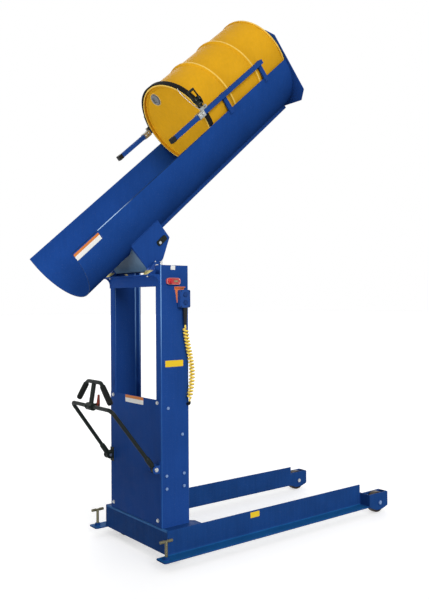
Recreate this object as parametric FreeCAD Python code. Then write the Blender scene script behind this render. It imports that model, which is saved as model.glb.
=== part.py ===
"""Drum tipper: a portable hydraulic machine that swings a drum up in a chute and pours it out.

Working frame: x = 0 is the front face of the mast and +X runs along the legs, y = 0 is the middle of
the machine with the pendant on the -Y ("near") side, z = 0 is the floor.  The finished pieces are moved
along X so that the origin lies on the floor under the middle of the machine.
"""
import FreeCAD, Part
import math
import os

V = FreeCAD.Vector
ORIGIN = V(0, 0, 0)
X_DIR = V(1, 0, 0)
Y_DIR = V(0, 1, 0)
Z_DIR = V(0, 0, 1)

# Clearances
RUNNING_FIT = 0.06
SEAT_FIT = 0.05
WELD_GAP = 0.2
SIDE_CLEARANCE = 1.0
HOLE_CLEARANCE = 0.3

# Plates and fasteners
PLATE = 8.0
SHEET = 3.0
BOLT_R = 5.0
BOLT_FLATS = 17.0
BOLT_HEAD = 7.0

# Mast: two channels that face each other
MAST_DEPTH = 203.0
MAST_HALF_WIDTH = 306.0
MAST_TOP = 1795.0
FLANGE_WIDTH = 57.0
FLANGE_THICK = 10.0
WEB_THICK = 7.0
CHANNEL_OUTER_R = 5.0
CHANNEL_ROOT_R = 9.0
CHANNEL_TOE_R = 5.0

# Base: front beam, deck, floor pan and two leg angles with an outward lip
BASE_TOP = 206.0
BEAM_FRONT = -5.0
BEAM_BOTTOM = 60.0
BEAM_FLANGE = 65.0
BEAM_BEND_R = 14.0
BEAM_WINDOW = 247.0
DECK_REAR = 255.0
DECK_INNER = 262.0
DECK_CHAMFER = 30.0
PAN_TOP = 104.0
PAN_REAR = 112.0
PAN_NOTCH = 18.0
PAN_NOTCH_HALF = 90.0
LEG_OUTER = 371.0
LEG_BOTTOM = 54.0
LEG_THICK = 8.0
LEG_LIP = 89.0
LEG_END = 1717.0
LEG_ROOT_R = 12.0
LEG_TOE_R = 4.0
TAB_REACH = 80.0
TAB_CORNER_R = 12.0

# Load wheels and their forks
WHEEL_R = 76.0
WHEEL_WIDTH = 50.0
WHEEL_X = 1829.0
WHEEL_Y = 425.0
WHEEL_CROWN = 3.0
WHEEL_HUB_R = 24.0
WHEEL_DISH = 6.0
WHEEL_RIM = 14.0
AXLE_R = 10.0
AXLE_FLATS = 27.0
AXLE_HEAD = 9.0
FORK_HALF_WIDTH = 40.0
FORK_BOTTOM = 42.0
FORK_TOP = 147.0
FORK_FRONT = 1920.0
FORK_BELLY = 24.0
FORK_BELLY_HALF = 32.0
FORK_CORNER_R = 8.0

# Swivel casters under the floor pan
CASTER_X = 70.0
CASTER_Y = 290.0
CASTER_R = 38.0
CASTER_WIDTH = 28.0
CASTER_TRAIL = 25.0
CASTER_PLATE = 76.0
CASTER_PLATE_THICK = 6.0
CASTER_DISC_R = 29.0
CASTER_DISC_THICK = 6.0
CASTER_CHEEK = 4.0
CASTER_AXLE_R = 6.0
KINGPIN_R = 7.0

# Screw jacks on the tabs
JACK_R = 9.0
JACK_BOSS_R = 17.0
JACK_BOSS_HEIGHT = 16.0
JACK_BAR_R = 7.0
JACK_BAR_LENGTH = 86.0
JACK_BAR_Z = 168.0
JACK_PAD_R = 24.0
JACK_PAD_THICK = 9.0
JACK_TAB_GAP = 0.6

# Tilting axis and the shelf that carries its bearing blocks
PIVOT_X = 12.0
SHELF_TOP = 1738.0
SHELF_REACH = 60.0
SHELF_REAR = 84.0
SHELF_HALF_WIDTH = 300.0
SHELF_HEADER = 65.0
SHELF_GUSSET = 48.0
SHELF_SLOT = 4.0
SHAFT_R = 17.5
BLOCK_Y = 229.0
BLOCK_WIDTH = 38.0
BLOCK_LENGTH = 148.0
BLOCK_BASE = 13.0
BLOCK_TOE = 7.0
BLOCK_R = 31.0
SPOT_FACE_R = 12.0
BLOCK_HEIGHT = 47.0
BLOCK_BOLT_X = 54.0

# Chute: half-round trough on two ears, measured from the tilting axis along (s) and square to (h) it
CHUTE_ANGLE = 41.0
TILT_RANGE = 131.0
MOUTH_S = -407.0
DRUM_TOP_S = 884.0
DRUM_AXIS_H = 515.0
TROUGH_R = 290.0
TROUGH_WALL = 5.0
TROUGH_DROP = 112.0
RIM_DROP = 88.0
END_PLATE = 6.0
END_HALF_WIDTH = 304.0
END_RISE = 150.0
END_DROP = 405.0
END_TOP_CHAMFER = 58.0
END_BOTTOM_CHAMFER = 70.0
KEEL_WIDTH = 127.0
KEEL_DROP = 425.0
KEEL_WALL = 6.0
KEEL_START_S = 232.0
EAR_Y = 200.0
EAR_THICK = 10.0
EAR_FRONT = 37.0
EAR_END_R = 44.0
EAR_CHEST = 8.0
EAR_KNEE_S = 90.0
EAR_BRACE = 8.0
TORQUE_TUBE_R = 30.0
TORQUE_TUBE_WALL = 6.0
EAR_REAR_S = 218.0
EAR_CORNER_H = 64.0

# Hydraulic cylinder beside the near ear
ROD_PIN_S = 180.0
ROD_PIN_H = 86.0
ROD_PIN_R = 10.0
ROD_EYE_R = 22.0
ROD_EYE_WIDTH = 34.0
ROD_R = 15.0
CYLINDER_Y = -165.0
CYLINDER_FOOT_Z = 935.0
BARREL_R = 28.0
BARREL_BORE_R = 23.0
BARREL_START = 28.0
BARREL_LENGTH = 572.0
BARREL_CAP = 12.0
BARREL_GLAND = 40.0
FOOT_LUG = 24.0
FOOT_LUG_R = 20.0
PISTON = 30.0
PISTON_CLEARANCE = 5.0
PORT_R = 9.0
PORT_REACH = 12.0
PORT_Z = 60.0
KEEPER_WIDTH = 34.0
KEEPER_THICK = 8.0
KEEPER_LENGTH = 80.0

# Cross members between the mast channels
CROSS_TUBE = 50.0
CROSS_WALL = 5.0
CROSS_X = 66.0
BRACKET_Z = 862.0
BRACKET_PLATE_X = (30.0, 166.0)
BRACKET_PLATE_Z = (740.0, 946.0)
CLEVIS_PLATE = 10.0
TIE_Z = 479.0
TIE_PLATE_X = (21.0, 177.0)
TIE_PLATE_Z = (424.0, 534.0)
BRACKET_BOLTS = ((46.0, 926.0), (150.0, 758.0))
TIE_BOLTS = ((33.0, 440.0), (33.0, 518.0), (162.0, 440.0), (162.0, 518.0))

# Cover panel
PANEL_HALF_WIDTH = 300.0
PANEL_TOP = 976.0
PANEL_BOTTOM = 210.0
PANEL_BOLT_Y = 266.0
PANEL_BOLT_Z = (246.0, 959.0)

# Power unit on the floor pan
UNIT_FRONT = 12.0
UNIT_DEPTH = 80.0
BATTERY_Y = (60.0, 242.0)
BATTERY_HEIGHT = 180.0
BATTERY_POST_R = 8.0
BATTERY_POST_HEIGHT = 16.0
TANK_Y = (-60.0, 56.0)
TANK_HEIGHT = 170.0
TANK_CAP_R = 18.0
TANK_CAP_HEIGHT = 14.0
PUMP_LENGTH = 60.0
PUMP_HEIGHT = 98.0
MOTOR_LENGTH = 150.0
MOTOR_R = 40.0
MOTOR_Z = 156.0
MOTOR_FOOT = 24.0
HOSE_R = 7.0
HOSE_BEND_R = 28.0
HOSE_X = 104.0
HOSE_Y = -235.0
HOSE_RISE = 68.0
HOSE_CLIMB = 198.0
HOSE_DROP = 37.0

# Handle
HANDLE_PIVOT_X = -34.0
HANDLE_PIVOT_Z = 563.0
HANDLE_PIVOT_Y = 278.0
HANDLE_TUBE_R = 12.0
HANDLE_EYE_R = 21.0
HANDLE_EYE_WIDTH = 26.0
SOCKET_R = 17.0
SOCKET_START = 32.0
SOCKET_LENGTH = 52.0
SOCKET_TAPER = 12.0
HANDLE_BOLT_R = 6.0
HANDLE_BAR_X = -313.0
HANDLE_BAR_Z = 938.0
HANDLE_BAR_HALF = 250.0
HANDLE_BEND_R = 36.0
HANDLE_TOP_BACK = 25.0
HANDLE_TOP_RISE = 148.0
HANDLE_TOP_HALF = 84.0
GRIP_END_HALF = 192.0
GRIP_DROP = 110.0
GRIP_R = 18.0
GRIP_SETBACK = 24.0
LOOP_BEND_R = 45.0
LOOP_TUBE_R = 12.0
LOOP_POST_R = 14.0
HUB_LENGTH = 70.0
HUB_WALL = 11.0
CLEVIS_CHEEK = 6.0
CLEVIS_CLEARANCE = 3.0
CLEVIS_HEIGHT = 90.0
CLEVIS_NOSE_R = 25.0
LEVER_Y = -44.0
LEVER_WIDTH = 14.0
LEVER_LENGTH = 62.0
LEVER_THICK = 7.0
LEVER_PIN_R = 4.0
LEVER_LUG_R = 9.0

# Items on the near mast web
ISOLATOR_X = (39.0, 133.0)
ISOLATOR_Z = (1678.0, 1716.0)
ISOLATOR_DEPTH = 16.0
ISOLATOR_CORNER = 13.0
KNOB_R = 16.0
KNOB_DEPTH = 18.0
KNOB_GRIP = 9.0
KNOB_SPINDLE_R = 5.0
HOOK_X = (99.0, 168.0)
HOOK_TOP = 1664.0
HOOK_BAR = 18.0
HOOK_THICK = 5.0
HOOK_STRIP_X = (104.0, 140.0)
HOOK_STRIP_TIP = 12.0
HOOK_STRIP_BOTTOM = 1566.0
PENDANT_X = (119.0, 194.0)
PENDANT_Z = (1536.0, 1645.0)
PENDANT_DEPTH = 30.0
PENDANT_CORNER = 10.0
BUTTON_R = 12.0
BUTTON_HEIGHT = 7.0
BUTTON_SINK = 6.0
BUTTON_TRAVEL = 4.0
BUTTON_STEM = 6.0
BUTTON_PITCH = 48.0

# Curly pendant cord
CORD_R = 5.5
CURL_R = 13.0
CURLS = 22
CORD_X_TOP = 165.0
CORD_X_FOOT = 190.0
CORD_BOW = 28.0
CORD_STANDOFF = 26.0
CORD_TOP_Z = 1430.0
CORD_FOOT_Z = 958.0
CORD_SAMPLES = 24
CURL_STEPS = 4
CURL_NUDGE = 1e-4
GLAND_R = 14.0
GLAND_TIP_R = 9.0
ELBOW_R = 7.5
ELBOW_DROP = 17.0

# Side rails, strap and ratchet
RAIL = 28.0
RAIL_RISE = 19.0
RAIL_S = (550.0, 1524.0)
RAIL_WALL = 3.0
POST_S = (1100.0, 1508.0)
POST_WIDTH = 32.0
POST_THICK = 12.0
POST_FOOT_DROP = 23.0
CAP_LENGTH = 34.0
CAP_WALL = 2.0
CLAMP_S = (816.0, 874.0)
CLAMP_WALL = 6.0
CLAMP_LUG = 22.0
STRAP_S = (886.0, 926.0)
STRAP_THICK = 3.0
STRAP_GAP = 0.3
STRAP_START = -17.0
STRAP_END = 197.0
RATCHET_ANGLE = 19.5
RATCHET_LENGTH = 78.0
RATCHET_CHEEK = 4.0
RATCHET_HEIGHT = 28.0
RATCHET_PIN_R = 6.0
RATCHET_ARM = 66.0
RATCHET_TILT = 9.0

# Steel drum
DRUM_R = 287.0
DRUM_LENGTH = 880.0
DRUM_WALL = 2.0
DRUM_HOOP_R = 298.0
DRUM_HOOPS = (282.0, 573.0)
DRUM_HOOP_HALF = 16.0
CHIME_R = 293.0
CHIME_LENGTH = 14.0
HEAD_RECESS = 19.0
HEAD_THICK = 2.0
HEAD_FLANGE = 12.0
HEAD_RIB = 6.0
PLUG_PLACES = ((76.0, 203.0, 35.0), (-100.0, -190.0, 18.0))
PLUG_HEIGHT = 9.0
PLUG_COLLAR = 6.0

# Values worked out from the sizes above
PIVOT_Z = SHELF_TOP + BLOCK_HEIGHT
PIVOT = V(PIVOT_X, 0, PIVOT_Z)
WEB_INNER = MAST_HALF_WIDTH - WEB_THICK
LEG_INNER = LEG_OUTER - LEG_THICK
LIP_EDGE = LEG_OUTER + LEG_LIP
JACK_X = BEAM_FRONT - TAB_REACH / 2
JACK_Y = LEG_OUTER + LEG_LIP / 2
TROUGH_CENTRE_H = DRUM_AXIS_H - TROUGH_DROP
RIM_H = DRUM_AXIS_H - RIM_DROP
RAIL_H = DRUM_AXIS_H + RAIL_RISE
POST_FOOT_H = RIM_H - POST_FOOT_DROP
DRUM_BOTTOM_S = DRUM_TOP_S + DRUM_LENGTH
END_PLATE_S = DRUM_BOTTOM_S + SEAT_FIT
EAR_INNER = EAR_Y - EAR_THICK / 2
EAR_OUTER = EAR_Y + EAR_THICK / 2
RAIL_INNER = TROUGH_R + POST_THICK
RAIL_MID = RAIL_INNER + RAIL / 2
STRAP_INNER = CHIME_R + STRAP_GAP
STRAP_OUTER = STRAP_INNER + STRAP_THICK
CHUTE = FreeCAD.Placement(PIVOT, FreeCAD.Rotation(Y_DIR, -CHUTE_ANGLE))
ROD_PIN = CHUTE.multVec(V(ROD_PIN_S, CYLINDER_Y, ROD_PIN_H))
FOOT = V(ROD_PIN.x, CYLINDER_Y, CYLINDER_FOOT_Z)
LOWERED = FreeCAD.Placement(PIVOT, FreeCAD.Rotation(Y_DIR, TILT_RANGE - CHUTE_ANGLE))
LOWERED_PIN = LOWERED.multVec(V(ROD_PIN_S, CYLINDER_Y, ROD_PIN_H))
ROD_LENGTH = (LOWERED_PIN - FOOT).Length - BARREL_START - BARREL_CAP - PISTON_CLEARANCE
EAR_HEEL = math.sqrt(EAR_END_R ** 2 - EAR_FRONT ** 2)
PORT = FOOT + V(0, -BARREL_R - PORT_REACH, PORT_Z)
HANDLE_TOP_X = HANDLE_BAR_X + HANDLE_TOP_BACK
HANDLE_TOP_Z = HANDLE_BAR_Z + HANDLE_TOP_RISE
GRIP_END_Z = HANDLE_TOP_Z - GRIP_DROP
PANEL_FRONT = -SHEET
WEB_FACE = -MAST_HALF_WIDTH
MACHINE_REAR = CHUTE.multVec(V(MOUTH_S, 0, RIM_H)).x
MACHINE_MIDDLE = (MACHINE_REAR + FORK_FRONT) / 2


def box(x, y, z):
    """Box between pairs of limits."""
    return Part.makeBox(x[1] - x[0], y[1] - y[0], z[1] - z[0], V(x[0], y[0], z[0]))


def cylinder(start, direction, radius, length):
    """Round bar from a point along a direction."""
    return Part.makeCylinder(radius, length, start, direction)


def tube(start, direction, radius, bore, length):
    """Hollow round bar."""
    return cylinder(start, direction, radius, length).cut(cylinder(start, direction, bore, length))


def polygon(points):
    """Face with straight sides."""
    return Part.Face(Part.makePolygon(points + points[:1]))


def prism_y(points, y):
    """Outline of (x, z) points carried from y[0] to y[1]."""
    return polygon([V(a, y[0], b) for a, b in points]).extrude(V(0, y[1] - y[0], 0))


def prism_x(points, x):
    """Outline of (y, z) points carried from x[0] to x[1]."""
    return polygon([V(x[0], a, b) for a, b in points]).extrude(V(x[1] - x[0], 0, 0))


def prism_z(points, z):
    """Outline of (x, y) points carried from z[0] to z[1]."""
    return polygon([V(a, b, z[0]) for a, b in points]).extrude(V(0, 0, z[1] - z[0]))


def fillet(shape, radius, chosen):
    """Round the edges that the test picks out."""
    return shape.makeFillet(radius, [edge for edge in shape.Edges if chosen(edge)])


def along(edge, direction):
    """Whether an edge is a straight line along a direction."""
    if not isinstance(edge.Curve, (Part.Line, Part.LineSegment)):
        return False
    return abs(abs(edge.tangentAt(edge.FirstParameter).dot(direction)) - 1) < 1e-6


def near(value, target):
    """Whether two lengths agree."""
    return abs(value - target) < 1e-4


def revolve(points, start, axis):
    """Solid of revolution of (along, out) points about an axis through start."""
    out = Z_DIR if abs(axis.z) < 0.5 else X_DIR
    outline = polygon([start + axis * a + out * r for a, r in points])
    return outline.revolve(start, axis, 360)


def hexagon(start, direction, flats, height):
    """Hexagonal prism, as a bolt head or a nut."""
    radius = flats / math.sqrt(3)
    turns = [k * math.pi / 3 for k in range(6)]
    corners = [V(radius * math.cos(turn), radius * math.sin(turn), 0) for turn in turns]
    prism = polygon(corners).extrude(V(0, 0, height))
    prism.Placement = FreeCAD.Placement(start, FreeCAD.Rotation(Z_DIR, direction))
    return prism


def bolt(face, direction, grip, radius=BOLT_R, flats=BOLT_FLATS, head=BOLT_HEAD):
    """Hexagon bolt and nut: the head sits on the face, the shank runs along direction through the grip."""
    shank = cylinder(face, direction, radius, grip)
    cap = hexagon(face - direction * head, direction, flats, head)
    nut = hexagon(face + direction * grip, direction, flats, head)
    return shank.fuse(cap).fuse(nut).removeSplitter()


def drill(shape, point, direction, depth, radius=BOLT_R):
    """Clearance hole for a bolt."""
    return shape.cut(cylinder(point, direction, radius + HOLE_CLEARANCE, depth))


def mirrored(shape):
    """The same piece on the other side of the machine."""
    return shape.mirror(ORIGIN, Y_DIR)


def pair(shape):
    """A piece and its mirror image as two separate solids."""
    return Part.makeCompound([shape, mirrored(shape)])


def bend_path(points, radius):
    """Straight runs joined by tangent arcs of one radius."""
    edges = []
    last = points[0]
    for before, corner, after in zip(points, points[1:], points[2:]):
        to_before = (before - corner).normalize()
        to_after = (after - corner).normalize()
        half_turn = (math.pi - to_before.getAngle(to_after)) / 2
        reach = radius * math.tan(half_turn)
        start = corner + to_before * reach
        end = corner + to_after * reach
        inward = (to_before + to_after).normalize()
        middle = corner + inward * (radius / math.cos(half_turn) - radius)
        edges.append(Part.LineSegment(last, start).toShape())
        edges.append(Part.Arc(start, middle, end).toShape())
        last = end
    edges.append(Part.LineSegment(last, points[-1]).toShape())
    return Part.Wire(edges)


def sweep(path, radius):
    """Round solid along a path."""
    start = path.Edges[0].valueAt(path.Edges[0].FirstParameter)
    direction = path.Edges[0].tangentAt(path.Edges[0].FirstParameter)
    ring = Part.Wire(Part.Circle(start, direction, radius).toShape())
    return Part.Solid(path.makePipeShell([ring], True, False))


def in_chute(shape):
    """Put a piece that was drawn in the chute's own s, y, h directions in its place."""
    placed = shape.copy()
    placed.Placement = CHUTE.multiply(placed.Placement)
    return placed


# Frame

def mast_channel():
    """Near mast channel with rounded heel and toe edges and bolt holes, flanges inwards."""
    rear = MAST_DEPTH - FLANGE_THICK
    toe = WEB_FACE + FLANGE_WIDTH
    heel = WEB_FACE + WEB_THICK
    outline = [(0, WEB_FACE), (MAST_DEPTH, WEB_FACE), (MAST_DEPTH, toe), (rear, toe),
               (rear, heel), (FLANGE_THICK, heel), (FLANGE_THICK, toe), (0, toe)]
    channel = prism_z(outline, (BASE_TOP, MAST_TOP))

    def upright(edge, xs, y):
        spot = edge.Vertexes[0].Point
        return along(edge, Z_DIR) and near(spot.y, y) and any(near(spot.x, x) for x in xs)

    channel = fillet(channel, CHANNEL_OUTER_R, lambda e: upright(e, (0, MAST_DEPTH), WEB_FACE))
    channel = fillet(channel, CHANNEL_ROOT_R, lambda e: upright(e, (FLANGE_THICK, rear), heel))
    channel = fillet(channel, CHANNEL_TOE_R, lambda e: upright(e, (FLANGE_THICK, rear), toe))
    for x, z in BRACKET_BOLTS + TIE_BOLTS:
        channel = drill(channel, V(x, WEB_FACE, z), Y_DIR, WEB_THICK)
    for z in PANEL_BOLT_Z:
        channel = drill(channel, V(0, -PANEL_BOLT_Y, z), X_DIR, FLANGE_THICK)
    return channel


def base_beam():
    """Front beam, a plate bent over at the top with a round corner, open between the mast channels."""
    inner = BEAM_FRONT + PLATE
    outline = [(BEAM_FRONT, BEAM_BOTTOM), (inner, BEAM_BOTTOM), (inner, BASE_TOP - PLATE),
               (BEAM_FRONT + BEAM_FLANGE, BASE_TOP - PLATE), (BEAM_FRONT + BEAM_FLANGE, BASE_TOP),
               (BEAM_FRONT, BASE_TOP)]
    beam = prism_y(outline, (-LEG_INNER, LEG_INNER))
    window = box((BEAM_FRONT + BEAM_BEND_R, BEAM_FRONT + BEAM_FLANGE), (-BEAM_WINDOW, BEAM_WINDOW),
                 (BASE_TOP - PLATE, BASE_TOP))
    beam = fillet(beam, BEAM_BEND_R, lambda e: along(e, Y_DIR) and near(e.Vertexes[0].X, BEAM_FRONT)
                  and near(e.Vertexes[0].Z, BASE_TOP))
    beam = fillet(beam, BEAM_BEND_R - PLATE, lambda e: along(e, Y_DIR) and near(e.Vertexes[0].X, inner)
                  and near(e.Vertexes[0].Z, BASE_TOP - PLATE))
    return beam.cut(window)


def leg():
    """Near leg: an angle with its lip outwards, the lip running on past the beam as the jack's tab."""
    lip_top = LEG_BOTTOM + LEG_THICK
    outline = [(-LEG_INNER, LEG_BOTTOM), (-LEG_INNER, BASE_TOP), (-LEG_OUTER, BASE_TOP),
               (-LEG_OUTER, lip_top), (-LIP_EDGE, lip_top), (-LIP_EDGE, LEG_BOTTOM)]
    angle = prism_x(outline, (BEAM_FRONT, LEG_END))

    def lengthwise(edge, y, z):
        spot = edge.Vertexes[0].Point
        return along(edge, X_DIR) and near(spot.y, y) and near(spot.z, z)

    angle = fillet(angle, LEG_ROOT_R, lambda e: lengthwise(e, -LEG_OUTER, lip_top))
    angle = fillet(angle, LEG_TOE_R, lambda e: lengthwise(e, -LEG_OUTER, BASE_TOP)
                   or lengthwise(e, -LIP_EDGE, lip_top))
    tab = box((BEAM_FRONT - TAB_REACH, BEAM_FRONT), (-LIP_EDGE, -LEG_INNER), (LEG_BOTTOM, lip_top))
    tab = fillet(tab, TAB_CORNER_R, lambda e: along(e, Z_DIR) and e.Vertexes[0].X < JACK_X)
    boss = cylinder(V(JACK_X, -JACK_Y, lip_top), Z_DIR, JACK_BOSS_R, JACK_BOSS_HEIGHT)
    depth = LEG_THICK + JACK_BOSS_HEIGHT
    bore = cylinder(V(JACK_X, -JACK_Y, LEG_BOTTOM), Z_DIR, JACK_R + RUNNING_FIT, depth)
    return angle.fuse(tab).fuse(boss).cut(bore).removeSplitter()


def deck_plate():
    """Near deck plate behind the beam, under the mast channel, with its free inner corner cut off."""
    front = BEAM_FRONT + BEAM_FLANGE
    outline = [(front, -LEG_INNER), (DECK_REAR, -LEG_INNER), (DECK_REAR, -DECK_INNER - DECK_CHAMFER),
               (DECK_REAR - DECK_CHAMFER, -DECK_INNER), (front, -DECK_INNER)]
    return prism_z(outline, (BASE_TOP - PLATE, BASE_TOP))


def floor_pan():
    """Plate between the legs under the power unit, with kingpin holes and a notch for the lowered keel."""
    z = (PAN_TOP - PLATE, PAN_TOP)
    pan = box((BEAM_FRONT + PLATE, PAN_REAR), (-LEG_INNER, LEG_INNER), z)
    pan = pan.cut(box((PAN_REAR - PAN_NOTCH, PAN_REAR), (-PAN_NOTCH_HALF, PAN_NOTCH_HALF), z))
    for side in (-1, 1):
        centre = V(CASTER_X, side * CASTER_Y, PAN_TOP - PLATE)
        pan = pan.cut(cylinder(centre, Z_DIR, KINGPIN_R + SIDE_CLEARANCE, PLATE))
    return pan


def wheel_fork():
    """Near fork at the leg's end: two bellied cheeks, a front plate and a rear plate over the leg."""
    outer = -WHEEL_Y - FORK_HALF_WIDTH
    inner = -WHEEL_Y + FORK_HALF_WIDTH
    side = [(LEG_END, LEG_BOTTOM), (WHEEL_X - FORK_BELLY_HALF, FORK_BELLY),
            (WHEEL_X + FORK_BELLY_HALF, FORK_BELLY), (FORK_FRONT, FORK_BOTTOM),
            (FORK_FRONT, FORK_TOP), (LEG_END, FORK_TOP)]
    block = prism_y(side, (outer, inner))
    block = fillet(block, FORK_CORNER_R, lambda e: along(e, Y_DIR) and e.Vertexes[0].X > LEG_END)
    hollow = box((LEG_END + PLATE, FORK_FRONT - PLATE), (outer + PLATE, inner - PLATE), (0, BASE_TOP))
    rear = box((LEG_END, LEG_END + PLATE), (inner, -LEG_INNER), (LEG_BOTTOM, FORK_TOP))
    fork = block.cut(hollow).fuse(rear)
    axle = V(WHEEL_X, outer, WHEEL_R)
    return fork.cut(cylinder(axle, Y_DIR, AXLE_R + SEAT_FIT, 2 * FORK_HALF_WIDTH)).removeSplitter()


def wheel_axle():
    """Near axle bolt through both cheeks of the fork."""
    start = V(WHEEL_X, -WHEEL_Y - FORK_HALF_WIDTH, WHEEL_R)
    return bolt(start, Y_DIR, 2 * FORK_HALF_WIDTH, AXLE_R, AXLE_FLATS, AXLE_HEAD)


def load_wheel(side):
    """Load wheel with a crowned tread, dished faces and a hub that runs on the axle."""
    half = WHEEL_WIDTH / 2
    web = half - WHEEL_DISH
    rim = WHEEL_R - WHEEL_RIM
    flank = WHEEL_R - WHEEL_CROWN
    hub = FORK_HALF_WIDTH - PLATE - SIDE_CLEARANCE
    bore = AXLE_R + RUNNING_FIT
    right = [(hub, bore), (hub, WHEEL_HUB_R - WHEEL_CROWN), (web, WHEEL_HUB_R), (web, rim),
             (half, rim + WHEEL_CROWN), (half, flank), (half - 2 * WHEEL_CROWN, WHEEL_R)]
    left = [(-a, r) for a, r in reversed(right)]
    return revolve(right + left, V(WHEEL_X, side * WHEEL_Y, WHEEL_R), Y_DIR)


def pivot_shelf():
    """Shelf on the mast: T-shaped top plate with slots for the ears, header and two curved gussets."""
    tongue = MAST_HALF_WIDTH - FLANGE_WIDTH - SIDE_CLEARANCE
    outline = [(-SHELF_REACH, -SHELF_HALF_WIDTH), (0, -SHELF_HALF_WIDTH), (0, -tongue),
               (SHELF_REAR, -tongue), (SHELF_REAR, tongue), (0, tongue), (0, SHELF_HALF_WIDTH),
               (-SHELF_REACH, SHELF_HALF_WIDTH)]
    under = SHELF_TOP - PLATE
    shelf = prism_z(outline, (under, SHELF_TOP))
    notch_y = (-EAR_INNER - EAR_THICK, CYLINDER_Y + BARREL_R + EAR_THICK)
    notch = box((ROD_PIN.x - BARREL_R, SHELF_REAR), notch_y, (under, SHELF_TOP))
    header = box((-PLATE, 0), (-SHELF_HALF_WIDTH, SHELF_HALF_WIDTH), (under - SHELF_HEADER, under))
    shelf = shelf.cut(notch).fuse(header)
    foot = V(-PLATE, 0, under - SHELF_GUSSET)
    tip = V(-PLATE - SHELF_GUSSET, 0, under)
    waist = tip - V(0, 0, SHELF_GUSSET) + V(1, 0, 1) * (SHELF_GUSSET / math.sqrt(2))
    corner = V(-PLATE, 0, under)
    sides = [Part.Arc(foot, waist, tip), Part.LineSegment(tip, corner), Part.LineSegment(corner, foot)]
    web = Part.Face(Part.Wire([side.toShape() for side in sides]))
    for side in (-1, 1):
        edges = sorted((side * (EAR_INNER - SHELF_SLOT), side * (EAR_OUTER + SHELF_SLOT)))
        shelf = shelf.cut(box((PIVOT_X - EAR_CHEST - SHELF_SLOT, SHELF_REAR), edges, (under, SHELF_TOP)))
    for y in (-SHELF_HALF_WIDTH, SHELF_HALF_WIDTH - PLATE):
        gusset = web.extrude(V(0, PLATE, 0))
        gusset.translate(V(0, y, 0))
        shelf = shelf.fuse(gusset)
    for side in (-1, 1):
        for x in (-BLOCK_BOLT_X, BLOCK_BOLT_X):
            shelf = drill(shelf, V(PIVOT_X + x, side * BLOCK_Y, under), Z_DIR, PLATE)
    return shelf.removeSplitter()


def bearing_block():
    """Near bearing block: sloped sides run up to the round housing and are spot-faced for the two bolts."""
    toe = V(BLOCK_LENGTH / 2, 0, SHELF_TOP + BLOCK_TOE - PIVOT_Z)
    touch_turn = math.atan2(toe.z, toe.x) + math.acos(BLOCK_R / toe.Length)
    touch = V(BLOCK_R * math.cos(touch_turn), 0, BLOCK_R * math.sin(touch_turn))
    right = [V(toe.x, 0, -BLOCK_HEIGHT), toe, touch]
    left = [V(-p.x, 0, p.z) for p in reversed(right)]
    points = [PIVOT + p for p in left + right]
    edges = [Part.LineSegment(a, b).toShape() for a, b in zip(points, points[1:])]
    edges.append(Part.Arc(points[-1], PIVOT + Z_DIR * BLOCK_R, points[0]).toShape())
    block = Part.Face(Part.Wire(edges)).extrude(V(0, BLOCK_WIDTH, 0))
    block.translate(V(0, -BLOCK_Y - BLOCK_WIDTH / 2, 0))
    block = block.cut(cylinder(V(PIVOT_X, -BLOCK_Y - BLOCK_WIDTH, PIVOT_Z), Y_DIR, SHAFT_R + RUNNING_FIT,
                               2 * BLOCK_WIDTH))
    for x in (-BLOCK_BOLT_X, BLOCK_BOLT_X):
        seat = V(PIVOT_X + x, -BLOCK_Y, SHELF_TOP + BLOCK_BASE)
        block = block.cut(cylinder(seat, Z_DIR, SPOT_FACE_R, BLOCK_HEIGHT))
        block = drill(block, seat, -Z_DIR, BLOCK_BASE)
    return block


def cover_panel():
    """Sheet panel over the lower part of the mast."""
    panel = box((PANEL_FRONT, 0), (-PANEL_HALF_WIDTH, PANEL_HALF_WIDTH), (PANEL_BOTTOM, PANEL_TOP))
    for side in (-1, 1):
        for z in PANEL_BOLT_Z:
            panel = drill(panel, V(PANEL_FRONT, side * PANEL_BOLT_Y, z), X_DIR, SHEET)
    return panel


def frame_bolts():
    """Bolts of the cover panel, the bearing blocks and the cross members, as separate solids."""
    solids = []
    for side in (-1, 1):
        for z in PANEL_BOLT_Z:
            solids.append(bolt(V(PANEL_FRONT, side * PANEL_BOLT_Y, z), X_DIR, SHEET + FLANGE_THICK))
        for x in (-BLOCK_BOLT_X, BLOCK_BOLT_X):
            top = V(PIVOT_X + x, side * BLOCK_Y, SHELF_TOP + BLOCK_BASE)
            solids.append(bolt(top, -Z_DIR, BLOCK_BASE + PLATE))
        for x, z in BRACKET_BOLTS + TIE_BOLTS:
            solids.append(bolt(V(x, side * MAST_HALF_WIDTH, z), Y_DIR * -side, WEB_THICK + PLATE))
    return Part.makeCompound(solids)


def cross_member(z, plate_x, plate_z, bolts):
    """Square tube between the channels with a bolted plate at each end."""
    half = CROSS_TUBE / 2
    bore = half - CROSS_WALL
    tube_end = WEB_INNER - PLATE
    member = box((CROSS_X - half, CROSS_X + half), (-tube_end, tube_end), (z - half, z + half))
    member = member.cut(box((CROSS_X - bore, CROSS_X + bore), (-tube_end, tube_end), (z - bore, z + bore)))
    for side in (-1, 1):
        y = sorted((side * tube_end, side * WEB_INNER))
        plate = box(plate_x, y, plate_z)
        for x, bolt_z in bolts:
            plate = drill(plate, V(x, y[0], bolt_z), Y_DIR, PLATE)
        member = member.fuse(plate)
    return member.removeSplitter()


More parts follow.
